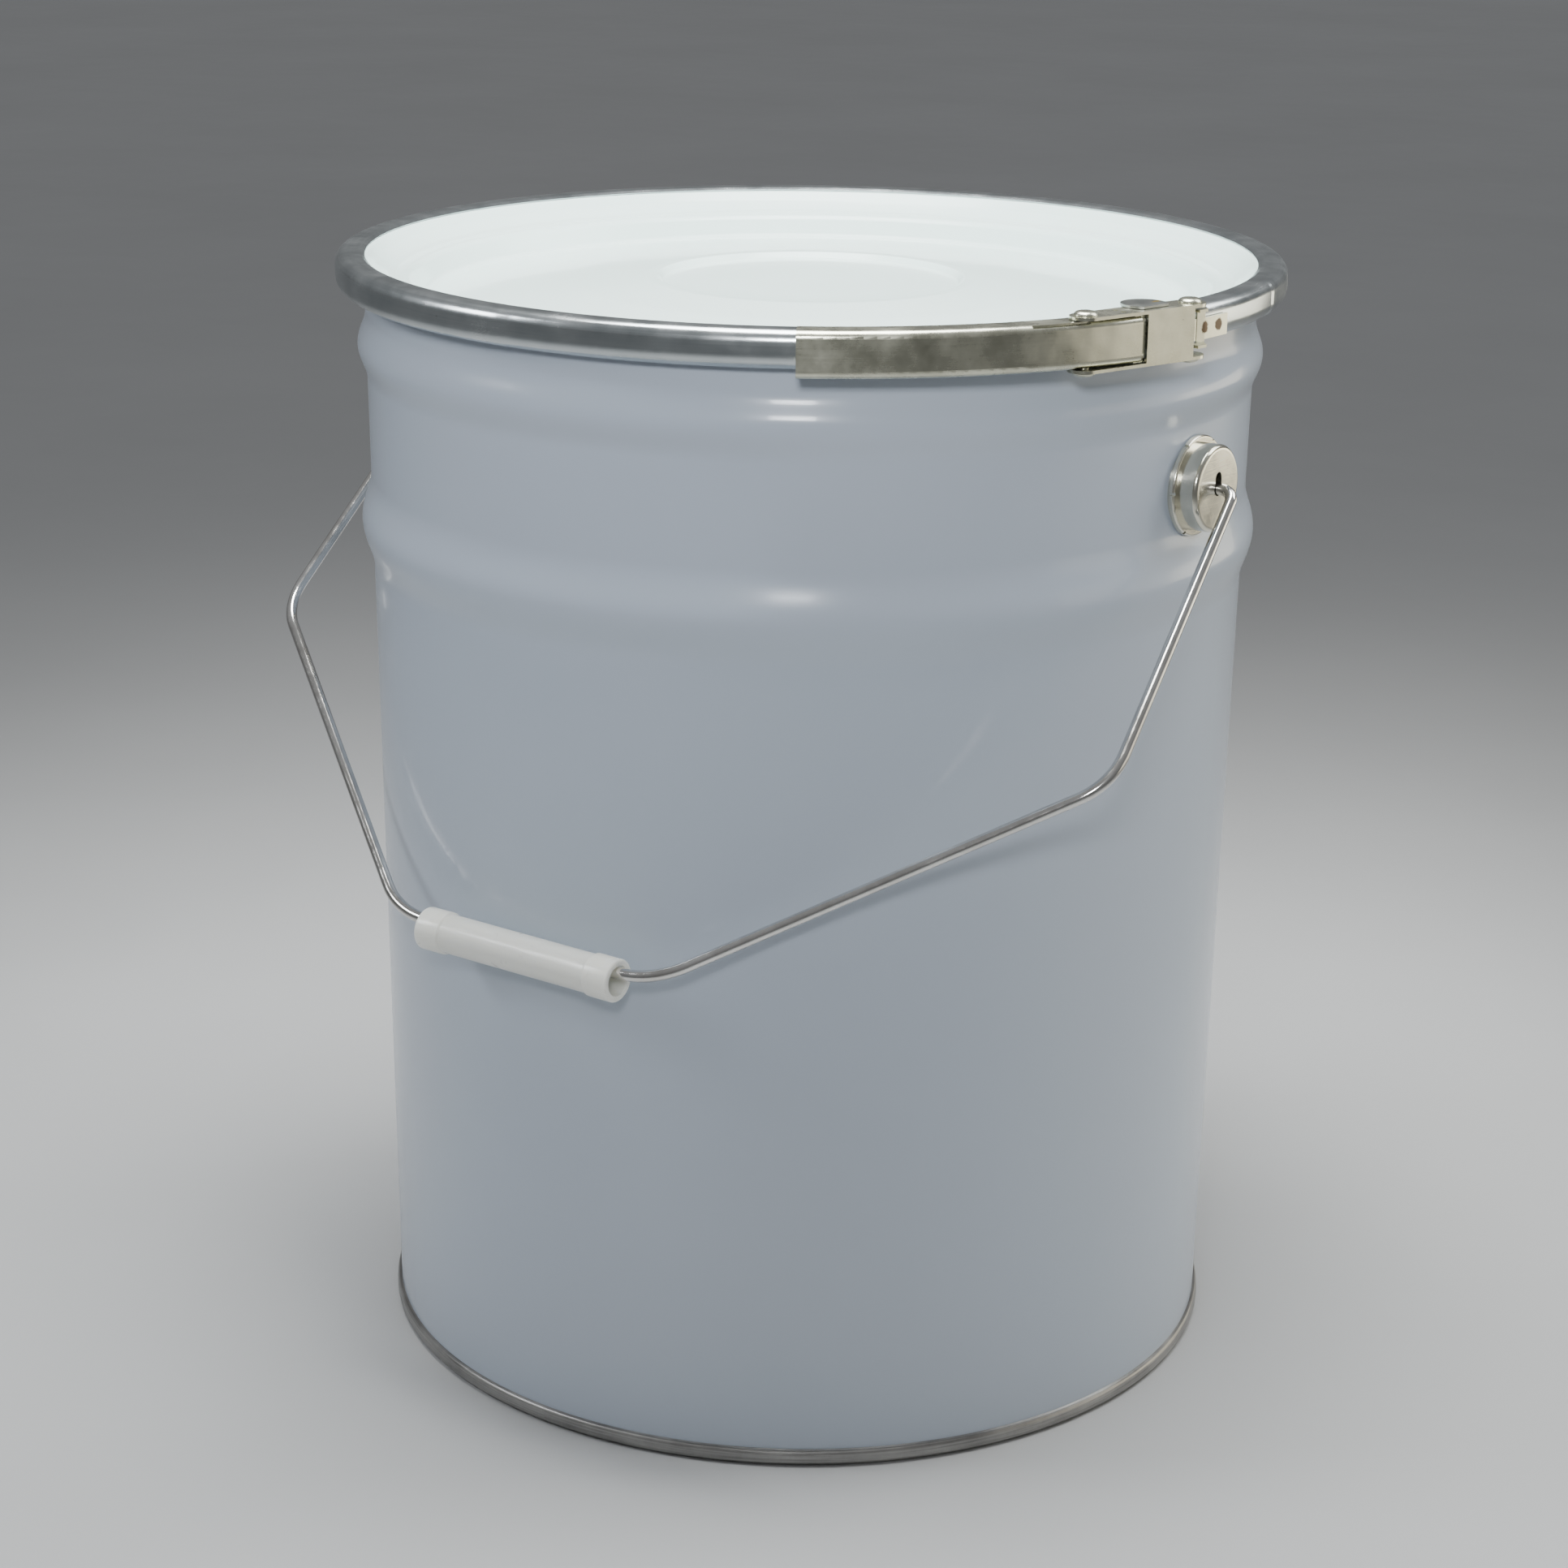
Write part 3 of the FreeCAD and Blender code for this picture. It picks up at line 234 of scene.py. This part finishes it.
def thicken(face, depth):
    """Closed outline of a sheet: one face, and the other face at a depth to its left."""
    back = []
    for number, point in enumerate(face):
        ahead = face[min(number + 1, len(face) - 1)]
        behind = face[max(number - 1, 0)]
        along = (ahead - behind).normalized()
        back.append(point + Vector((-along.y, along.x)) * depth)
    return face + back[::-1]


def ring_point(radius, azimuth, height):
    """Place in metres of a radius and a height in millimetres, at an azimuth."""
    turn = math.radians(azimuth)
    return Vector((radius * math.sin(turn), -radius * math.cos(turn), height)) * MM


def vectors(pairs):
    return [Vector(pair) for pair in pairs]


def wall(height):
    """Radius of the pail's outer face, beads included."""
    radius = BASE_RADIUS + TAPER * height
    for centre, half, swell in BEADS:
        share = abs(height - centre) / half
        if share < 1:
            radius += swell * (0.5 + 0.5 * math.cos(math.pi * share))
    return radius


# ---------------------------------------------------------------------------------------------
# Meshes

def finish_mesh(name, mesh, sharp=SHARP_EDGE):
    mesh.normal_update()
    bmesh.ops.recalc_face_normals(mesh, faces=mesh.faces)
    data = bpy.data.meshes.new(name)
    mesh.to_mesh(data)
    mesh.free()
    data.shade_smooth()
    data.set_sharp_from_angle(angle=math.radians(sharp))
    piece = bpy.data.objects.new(name, data)
    bpy.context.scene.collection.objects.link(piece)
    return piece


def spin(name, outline, azimuths, closed_turn, sharp=SHARP_EDGE):
    """Sweep a closed (radius, height) outline round the pail's axis through a list of azimuths."""
    mesh = bmesh.new()
    rows = []
    for azimuth in azimuths:
        rows.append([mesh.verts.new(ring_point(point.x, azimuth, point.y)) for point in outline])
    count = len(outline)
    pairs = list(zip(rows, rows[1:]))
    if closed_turn:
        pairs.append((rows[-1], rows[0]))
    for first, second in pairs:
        for number in range(count):
            after = (number + 1) % count
            mesh.faces.new((first[number], first[after], second[after], second[number]))
    if not closed_turn:
        mesh.faces.new(rows[0])
        mesh.faces.new(rows[-1][::-1])
    bmesh.ops.remove_doubles(mesh, verts=mesh.verts, dist=SPUN_MERGE)
    return finish_mesh(name, mesh, sharp)


def full_turn(count):
    return [FULL_TURN * number / count for number in range(count)]


def lathe(name, outline, matrix, count):
    """Turn an (axial, radial) outline about the X axis, then place it by a matrix."""
    mesh = bmesh.new()
    rows = []
    for number in range(count):
        turn = 2 * math.pi * number / count
        across = Vector((0, math.cos(turn), math.sin(turn)))
        rows.append([mesh.verts.new((Vector((p.x, 0, 0)) + across * p.y) * MM) for p in outline])
    for first, second in zip(rows, rows[1:] + rows[:1]):
        for start in range(len(outline) - 1):
            mesh.faces.new((first[start], second[start], second[start + 1], first[start + 1]))
    bmesh.ops.remove_doubles(mesh, verts=mesh.verts, dist=TURNED_MERGE)
    mesh.transform(matrix)
    return finish_mesh(name, mesh)


def tube(name, path, radius):
    """Round wire of a radius in millimetres along a list of points in metres."""
    mesh = bmesh.new()
    rows = []
    across = None
    for number, point in enumerate(path):
        ahead = path[min(number + 1, len(path) - 1)]
        behind = path[max(number - 1, 0)]
        along = (ahead - behind).normalized()
        if across is None:
            across = along.orthogonal().normalized()
        across = (across - along * across.dot(along)).normalized()
        up = along.cross(across)
        row = []
        for side in range(WIRE_SIDES):
            turn = 2 * math.pi * side / WIRE_SIDES
            arm = across * math.cos(turn) + up * math.sin(turn)
            row.append(mesh.verts.new(point + arm * radius * MM))
        rows.append(row)
    for first, second in zip(rows, rows[1:]):
        for side in range(WIRE_SIDES):
            after = (side + 1) % WIRE_SIDES
            mesh.faces.new((first[side], first[after], second[after], second[side]))
    mesh.faces.new(rows[0])
    mesh.faces.new(rows[-1][::-1])
    return finish_mesh(name, mesh, SOFT_EDGE)


# ---------------------------------------------------------------------------------------------
# Material nodes

class Finish:
    """A Principled material built up from object-space textures."""

    def __init__(self, name, **constants):
        self.material = bpy.data.materials.new(name)
        self.material.use_nodes = True
        self.tree = self.material.node_tree
        self.shader = self.tree.nodes["Principled BSDF"]
        for socket, value in constants.items():
            self.shader.inputs[socket.replace("_", " ")].default_value = value
        self.place = self.tree.nodes.new("ShaderNodeTexCoord").outputs["Object"]
        self.normal = None

    def link(self, output, target):
        self.tree.links.new(output, target)

    def scaled(self, scale):
        node = self.tree.nodes.new("ShaderNodeMapping")
        node.inputs["Scale"].default_value = scale
        self.link(self.place, node.inputs["Vector"])
        return node.outputs["Vector"]

    def around(self, fineness, wander):
        """Coordinates that change quickly across the pail's rings and slowly along them."""
        split = self.tree.nodes.new("ShaderNodeSeparateXYZ")
        self.link(self.place, split.inputs[0])
        radius = self.tree.nodes.new("ShaderNodeVectorMath")
        radius.operation = "LENGTH"
        flat = self.tree.nodes.new("ShaderNodeCombineXYZ")
        self.link(split.outputs["X"], flat.inputs["X"])
        self.link(split.outputs["Y"], flat.inputs["Y"])
        self.link(flat.outputs[0], radius.inputs[0])
        turn = self.math("ARCTAN2", split.outputs["X"], split.outputs["Y"])
        joined = self.tree.nodes.new("ShaderNodeCombineXYZ")
        self.link(self.math("MULTIPLY", radius.outputs["Value"], fineness), joined.inputs["X"])
        self.link(self.math("MULTIPLY", split.outputs["Z"], fineness), joined.inputs["Y"])
        self.link(self.math("MULTIPLY", turn, wander), joined.inputs["Z"])
        return joined.outputs[0]

    def math(self, operation, first, second):
        node = self.tree.nodes.new("ShaderNodeMath")
        node.operation = operation
        for socket, value in zip(node.inputs, (first, second)):
            if isinstance(value, (int, float)):
                socket.default_value = value
            else:
                self.link(value, socket)
        return node.outputs[0]

    def noise(self, scale, detail=3.0, roughness=0.5, vector=None):
        node = self.tree.nodes.new("ShaderNodeTexNoise")
        node.inputs["Scale"].default_value = scale
        node.inputs["Detail"].default_value = detail
        node.inputs["Roughness"].default_value = roughness
        self.link(vector or self.place, node.inputs["Vector"])
        return node.outputs[0]

    def cells(self, scale, output="Distance"):
        node = self.tree.nodes.new("ShaderNodeTexVoronoi")
        node.inputs["Scale"].default_value = scale
        self.link(self.place, node.inputs["Vector"])
        return node.outputs[output]

    def ranged(self, source, low, high, to_low=0.0, to_high=1.0):
        node = self.tree.nodes.new("ShaderNodeMapRange")
        self.link(source, node.inputs["Value"])
        limits = {"From Min": low, "From Max": high, "To Min": to_low, "To Max": to_high}
        for name, value in limits.items():
            node.inputs[name].default_value = value
        return node.outputs["Result"]

    def varied(self, noise, to_low, to_high):
        """A noise spread over a range of values."""
        return self.ranged(noise, NOISE_LOW, NOISE_HIGH, to_low, to_high)

    def tinted(self, noise, dark, light, start=NOISE_LOW, end=NOISE_HIGH):
        """A noise turned into colours between two."""
        return self.ramp(noise, (start, dark), (end, light))

    def ramp(self, source, *stops):
        """Colours along a value: each stop is (position, (red, green, blue))."""
        node = self.tree.nodes.new("ShaderNodeValToRGB")
        elements = node.color_ramp.elements
        while len(elements) < len(stops):
            elements.new(0.5)
        for element, (position, colour) in zip(elements, stops):
            element.position = position
            element.color = (*colour, 1)
        self.link(source, node.inputs["Fac"])
        return node.outputs["Color"]

    def mix(self, share, first, second):
        node = self.tree.nodes.new("ShaderNodeMix")
        node.data_type = "RGBA"
        factor, colour_a, colour_b = (node.inputs[number] for number in MIX_COLOUR_INPUTS)
        for socket, value in ((factor, share), (colour_a, first), (colour_b, second)):
            if isinstance(value, (int, float)):
                socket.default_value = value
            elif isinstance(value, tuple):
                socket.default_value = (*value, 1)
            else:
                self.link(value, socket)
        return node.outputs[MIX_COLOUR_OUTPUT]

    def bump(self, height, distance, strength):
        node = self.tree.nodes.new("ShaderNodeBump")
        node.inputs["Strength"].default_value = strength
        node.inputs["Distance"].default_value = distance
        self.link(height, node.inputs["Height"])
        if self.normal is not None:
            self.link(self.normal, node.inputs["Normal"])
        self.normal = node.outputs["Normal"]
        self.link(self.normal, self.shader.inputs["Normal"])

    def set(self, socket, source):
        self.link(source, self.shader.inputs[socket])

    def specks(self, colour, speck, scale, size, sparseness):
        """Lay small specks of another colour over a colour, on a few of the cells."""
        near = self.ranged(self.cells(scale), size * SPECK_CORE, size, to_low=1.0, to_high=0.0)
        chosen = self.ranged(self.cells(scale, "Color"), sparseness, sparseness + SPECK_CHOICE)
        return self.mix(self.math("MULTIPLY", near, chosen), colour, speck)

    def spot(self, colour, centre, size, mark):
        """Lay one ragged mark over a colour, at a place and of a size given in metres."""
        shift = self.tree.nodes.new("ShaderNodeMapping")
        shift.vector_type = "TEXTURE"
        shift.inputs["Location"].default_value = centre
        shift.inputs["Scale"].default_value = size
        self.link(self.place, shift.inputs["Vector"])
        length = self.tree.nodes.new("ShaderNodeVectorMath")
        length.operation = "LENGTH"
        self.link(shift.outputs["Vector"], length.inputs[0])
        fringe = self.varied(self.noise(SPOT_GRAIN, detail=2.0), -SPOT_RAGGEDNESS, SPOT_RAGGEDNESS)
        ragged = self.math("ADD", length.outputs["Value"], fringe)
        cover = self.ranged(ragged, SPOT_CORE, 1.0, to_low=SPOT_COVER, to_high=0.0)
        return self.mix(cover, colour, mark)


def lacquer(name, dark, light, orange_peel):
    """Glossy white lacquer on sheet steel, with slight waves, orange peel and a few dust specks."""
    made = Finish(name, Coat_Weight=0.35, Coat_Roughness=0.07, Coat_IOR=1.4, IOR=1.35)
    colour = made.tinted(made.noise(5.0, detail=4.0), dark, light)
    colour = made.specks(colour, DUST, scale=55.0, size=0.016, sparseness=0.86)
    made.set("Base Color", colour)
    made.set("Roughness", made.varied(made.noise(9.0), 0.2, 0.26))
    made.bump(made.noise(11.0, detail=1.0), distance=0.0006, strength=0.35)
    made.bump(made.noise(420.0, detail=2.0), distance=0.00002, strength=orange_peel)
    return made.material


def zinc(name, colours, rough, grain=0.1, dents=0.0, marks=(), scratch=COARSE_SCRATCH):
    """Zinc-plated steel: fine streaks round the pail, cloudy patches, pits, dents and marks."""
    made = Finish(name, Metallic=1.0)
    streaks = made.noise(1.0, roughness=0.6, vector=made.around(fineness=2600.0, wander=3.0))
    clouds = made.noise(60.0, detail=6.0, roughness=0.65)
    colour = made.mix(grain, made.tinted(clouds, *colours), made.tinted(streaks, *colours))
    colour = made.specks(colour, PIT, scale=500.0, size=0.12, sparseness=0.88)
    for centre, size, mark in marks:
        colour = made.spot(colour, centre, size, mark)
    made.set("Base Color", colour)
    cloud_share = made.math("MULTIPLY", clouds, SHEEN_FROM_CLOUDS)
    streak_share = made.math("MULTIPLY", streaks, SHEEN_FROM_STREAKS)
    sheen = made.math("ADD", cloud_share, streak_share)
    made.set("Roughness", made.varied(sheen, *rough))
    made.bump(streaks, distance=scratch, strength=0.4)
    made.bump(clouds, distance=0.00006, strength=0.3)
    if dents:
        made.bump(made.noise(75.0, detail=1.0), distance=dents, strength=0.6)
    return made.material


def bare_steel(dark, light):
    """Dark uncoated steel of the bottom seam, dulled and scratched."""
    made = Finish("bare_seam_steel", Metallic=1.0)
    around = made.around(fineness=1800.0, wander=5.0)
    streaks = made.noise(1.0, detail=4.0, roughness=0.6, vector=around)
    patches = made.noise(35.0, detail=6.0, roughness=0.7)
    patchy = made.tinted(patches, dark, light, start=0.32)
    made.set("Base Color", made.mix(0.5, patchy, made.tinted(streaks, dark, light)))
    made.set("Roughness", made.varied(patches, 0.32, 0.5))
    made.bump(streaks, distance=0.00004, strength=0.6)
    return made.material


def bright_wire(dark, light):
    """Bright-plated bail wire with faint drawing lines and dull patches."""
    made = Finish("bright_wire", Metallic=1.0)
    dullness = made.noise(45.0, detail=5.0, roughness=0.6)
    made.set("Base Color", made.tinted(dullness, dark, light, end=0.65))
    made.set("Roughness", made.varied(made.noise(260.0, detail=4.0), 0.08, 0.2))
    made.bump(made.noise(900.0, detail=2.0), distance=0.00001, strength=0.4)
    return made.material


def milky_plastic(dark, light):
    """Milky polyethylene of the grip: soft gloss, cloudy, with fine moulding marks."""
    made = Finish(
        "grip_plastic", Subsurface_Weight=0.6, Subsurface_Scale=0.006, IOR=1.5,
        Subsurface_Radius=(1.0, 0.95, 0.85), Coat_Weight=0.3, Coat_Roughness=0.15,
    )
    made.set("Base Color", made.tinted(made.noise(60.0, detail=4.0), dark, light))
    made.set("Roughness", made.varied(made.noise(200.0), 0.26, 0.42))
    mould_lines = made.noise(1.0, vector=made.scaled((60.0, 900.0, 900.0)))
    made.bump(mould_lines, distance=0.00004, strength=0.6)
    return made.material


def rubber(name, dark, light):
    made = Finish(name)
    made.set("Base Color", made.tinted(made.noise(90.0, detail=4.0), dark, light))
    made.set("Roughness", made.varied(made.noise(300.0), 0.55, 0.75))
    made.bump(made.noise(700.0), distance=0.00005, strength=0.5)
    return made.material


def floor_paint(dark, light):
    made = Finish("floor_paint")
    made.set("Base Color", made.tinted(made.noise(3.0, detail=4.0), dark, light))
    made.set("Roughness", made.varied(made.noise(20.0, detail=4.0), 0.6, 0.7))
    return made.material


# The two brown spot welds on the tab, and the film of yellow passivation on the tongue
WELD_SIZE = (0.0024, 0.0023, 0.0022)
WELD_BROWN = (0.06, 0.035, 0.02)
WELDS = [(tuple(ring_point(161.9, azimuth, 376.4)), WELD_SIZE, WELD_BROWN) for azimuth in (84.1, 86.9)]
FILM_SIZE = (0.0009, 0.0036, 0.0010)
FILM_YELLOW = (0.6, 0.45, 0.12)
FILM = [(tuple(ring_point(159.6, 76.6, 386.6)), FILM_SIZE, FILM_YELLOW)]

BLUE_ZINC = ((0.45, 0.495, 0.51), (0.64, 0.67, 0.68))
WARM_ZINC = ((0.48, 0.475, 0.375), (0.75, 0.745, 0.61))
DULL_ZINC = ((0.24, 0.25, 0.24), (0.44, 0.45, 0.42))
PALE_ZINC = ((0.6, 0.58, 0.49), (0.77, 0.75, 0.65))

# The body's lacquer is the lid's white lacquer painted a good deal darker. Its cool grey-blue tone is
# the lacquer's own, and the darkness is painted shade on the wall, which gets less light than the lid.
BODY_LACQUER_PAINTED_SHADE = lacquer("body_lacquer_painted_shade", (0.455, 0.515, 0.6), (0.485, 0.54, 0.62), 0.15)
LID_LACQUER = lacquer("lid_lacquer", (0.72, 0.88, 0.85), (0.76, 0.91, 0.88), 0.15)
RING_ZINC = zinc("ring_zinc", BLUE_ZINC, (0.17, 0.29), grain=0.3)
LATCH_ZINC = zinc("latch_zinc", WARM_ZINC, (0.2, 0.36), dents=0.0008, scratch=FINE_SCRATCH)
TAB_ZINC = zinc("tab_zinc", WARM_ZINC, (0.24, 0.42), marks=WELDS, scratch=FINE_SCRATCH)
TONGUE_ZINC = zinc("tongue_zinc", DULL_ZINC, (0.24, 0.42), marks=FILM)
EAR_ZINC = zinc("ear_zinc", PALE_ZINC, (0.12, 0.28))
SEAM_STEEL = bare_steel((0.19, 0.185, 0.18), (0.5, 0.49, 0.47))
WIRE_STEEL = bright_wire((0.55, 0.53, 0.5), (0.78, 0.77, 0.75))
GRIP_PLASTIC = milky_plastic((0.91, 0.9, 0.79), (0.95, 0.94, 0.84))
SEAM_RUBBER = rubber("seam_compound", (0.05, 0.05, 0.05), (0.09, 0.09, 0.09))
GASKET_RUBBER = rubber("lid_gasket_rubber", (0.6, 0.59, 0.55), (0.7, 0.69, 0.65))
FLOOR_PAINT = floor_paint((0.5, 0.505, 0.51), (0.53, 0.535, 0.54))


def dress(piece, material, body, nodes):
    """Give a piece its material, the nodes it stands for and, if it has one, its body."""
    piece.data.materials.append(material)
    if body:
        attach(piece, body)
    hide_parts(*nodes)


# ---------------------------------------------------------------------------------------------
# Pail

def make_shell():
    face = [Vector((wall(height), height)) for height in (FOOT, PLAIN_WALL)]
    height = BEADS[0][0] - BEADS[0][1]
    while height < CURL_HEIGHT:
        face.append(Vector((wall(height), height)))
        height += BEAD_STEP
    inner_curl = CURL_RADIUS - SHEET
    centre = Vector((wall(CURL_HEIGHT) + inner_curl, CURL_HEIGHT))
    for step in range(CURL_STEPS + 1):
        turn = math.pi - math.radians(CURL_SWEEP) * step / CURL_STEPS
        face.append(centre + Vector((math.cos(turn), math.sin(turn))) * inner_curl)
    shell = spin("pail_shell", thicken(face, SHEET), full_turn(SHELL_SLICES), True)
    dress(shell, BODY_LACQUER_PAINTED_SHADE, "pail", ["body_shell"])


def make_bottom():
    """Bottom end with its rolled seam: the seam's crown is round and the panel is recessed."""
    outline = fillet(SEAM_CORNERS) + vectors(SEAM_INSIDE)
    end = spin("bottom_seam", outline, full_turn(SHELL_SLICES), True, SOFT_EDGE)
    dress(end, SEAM_STEEL, "pail", ["bottom_end"])


def make_lid():
    lid = spin("lid_pressing", thicken(fillet(LID_CORNERS), SHEET), full_turn(SHELL_SLICES), True)
    dress(lid, LID_LACQUER, "lid", ["lid"])


# ---------------------------------------------------------------------------------------------
# Closing ring

def ring_azimuths():
    azimuths = [RING_START]
    while azimuths[-1] < FULL_TURN + RING_END:
        fine = min(abs(azimuths[-1] - RING_BACK), abs(azimuths[-1] - JOGGLE_END)) < FINE_REACH
        azimuths.append(min(azimuths[-1] + (FINE_SLICE if fine else SLICE), FULL_TURN + RING_END))
    return azimuths


def joggle(ring):
    """Draw the ring's wall in between its tab end and the joggle."""
    for vertex in ring.data.vertices:
        azimuth = math.degrees(math.atan2(vertex.co.x, -vertex.co.y)) % FULL_TURN
        before = JOGGLE_END - azimuth
        radius = vertex.co.xy.length
        if before > 0 and radius > JOGGLE_RADIUS * MM:
            share = min(1, before / JOGGLE_SPREAD)
            vertex.co.xy *= 1 - share * JOGGLE_DEPTH * MM / radius


def make_ring():
    ring = spin("closing_ring", thicken(fillet(RING_CORNERS), -RING_SHEET), ring_azimuths(), False)
    joggle(ring)
    dress(ring, RING_ZINC, None, ["closing_ring_hinge_half", "closing_ring_tab_half"])
    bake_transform(ring)


# ---------------------------------------------------------------------------------------------
# Bail, grip and ears

def bail_point(across, along):
    """Place in metres of a point of the bail's tilted plane, given in millimetres."""
    return Vector((across, -along * math.sin(BAIL_TILT), EAR_HEIGHT - along * math.cos(BAIL_TILT))) * MM


def make_bail():
    corners = BAIL_CORNERS + [(-x, y, radius) for x, y, radius in reversed(BAIL_CORNERS)]
    path = [bail_point(point.x, point.y) for point in fillet(corners, WIRE_FACET)]
    wire = tube("bail", path, WIRE_RADIUS)
    dress(wire, WIRE_STEEL, "bail", ["bail_wire"])
    ear_level = Matrix.Translation((0, 0, EAR_HEIGHT * MM))
    for name, turn in (("bail_button_right", 0), ("bail_button_left", math.pi)):
        place = ear_level @ Matrix.Rotation(turn, 4, "Z")
        button = lathe(name, fillet(BUTTON_CORNERS), place, BUTTON_SLICES)
        dress(button, WIRE_STEEL, "bail", ["bail_wire"])


def make_grip():
    low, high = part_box("grip")
    middle = Matrix.Translation((low + high) / 2)
    grip = lathe("grip_tube", fillet(GRIP_CORNERS), middle, GRIP_SLICES)
    dress(grip, GRIP_PLASTIC, "grip", ["grip"])


# ---------------------------------------------------------------------------------------------
# CAD nodes that stay

def keep_node(name, material, bevel=0.0):
    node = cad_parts[name]
    node.data.materials.clear()
    node.data.materials.append(material)
    if bevel:
        soften = node.modifiers.new("edge_bevel", "BEVEL")
        soften.width = bevel * MM
        soften.segments = 2
        soften.limit_method = "ANGLE"
        soften.angle_limit = math.radians(BEVEL_ANGLE)
        soften.harden_normals = True


def dress_kept_nodes():
    for name in ("hinge_bracket", "hinge_pin", "link", "link_lever_rivet", "link_tab_rivet", "lever"):
        keep_node(name, LATCH_ZINC, LATCH_BEVEL)
    keep_node("tab_bracket", TAB_ZINC, LATCH_BEVEL)
    keep_node("keeper_tongue", TONGUE_ZINC, LATCH_BEVEL)
    for side in ("right", "left"):
        keep_node("ear_plate_" + side, EAR_ZINC, EAR_BEVEL)
        keep_node("ear_cup_" + side, EAR_ZINC, EAR_BEVEL)
    keep_node("bottom_seam_compound", SEAM_RUBBER)
    keep_node("lid_gasket", GASKET_RUBBER)


# ---------------------------------------------------------------------------------------------
# Floor, light and camera

def make_floor():
    mesh = bmesh.new()
    bmesh.ops.create_grid(mesh, x_segments=4, y_segments=4, size=FLOOR_SIZE)
    floor = finish_mesh("floor", mesh)
    floor.location.z = -FLOOR_DROP
    floor.data.materials.append(FLOOR_PAINT)


def area_light(name, place, target, size, power, spread, colour):
    data = bpy.data.lights.new(name, "AREA")
    data.shape = "RECTANGLE"
    data.size, data.size_y = size
    data.energy = power
    data.color = colour
    data.spread = math.radians(spread)
    light = bpy.data.objects.new(name, data)
    light.location = place
    light.rotation_euler = (Vector(target) - Vector(place)).to_track_quat("-Z", "Y").to_euler()
    light.visible_camera = False
    bpy.context.scene.collection.objects.link(light)


def make_lights():
    for light in LIGHTS:
        area_light(*light)
    world = bpy.data.worlds.new("studio")
    world.use_nodes = True
    tree = world.node_tree
    place = tree.nodes.new("ShaderNodeTexCoord")
    split = tree.nodes.new("ShaderNodeSeparateXYZ")
    ramp = tree.nodes.new("ShaderNodeValToRGB")
    ramp.color_ramp.elements[0].color = (*SKY_LEVEL, 1)
    ramp.color_ramp.elements[1].color = (*SKY_TOP, 1)
    tree.links.new(place.outputs["Generated"], split.inputs[0])
    tree.links.new(split.outputs["Z"], ramp.inputs["Fac"])
    tree.links.new(ramp.outputs["Color"], tree.nodes["Background"].inputs["Color"])
    bpy.context.scene.world = world


def make_camera():
    yaw, pitch = CAMERA_YAW, CAMERA_PITCH
    turn = Matrix.Rotation(CAMERA_AZIMUTH, 3, "Z")
    level = math.cos(pitch)
    forward = Vector((math.sin(yaw) * level, math.cos(yaw) * level, -math.sin(pitch)))
    right = Vector((math.cos(yaw), -math.sin(yaw), 0))
    up = right.cross(forward)
    rolled_right = turn @ (right * math.cos(CAMERA_ROLL) + up * math.sin(CAMERA_ROLL))
    rolled_up = turn @ (up * math.cos(CAMERA_ROLL) - right * math.sin(CAMERA_ROLL))
    data = bpy.data.cameras.new("photo_view")
    data.lens = CAMERA_LENS
    data.sensor_width = CAMERA_SENSOR
    data.clip_start, data.clip_end = CAMERA_CLIP
    camera = bpy.data.objects.new("photo_view", data)
    axes = Matrix((rolled_right, rolled_up, turn @ -forward)).transposed()
    place = turn @ Vector(CAMERA_STAND)
    camera.matrix_world = Matrix.Translation(place) @ axes.to_4x4()
    bpy.context.scene.collection.objects.link(camera)
    bpy.context.scene.camera = camera


make_shell()
make_bottom()
make_lid()
make_ring()
make_bail()
make_grip()
dress_kept_nodes()
make_floor()
make_lights()
make_camera()
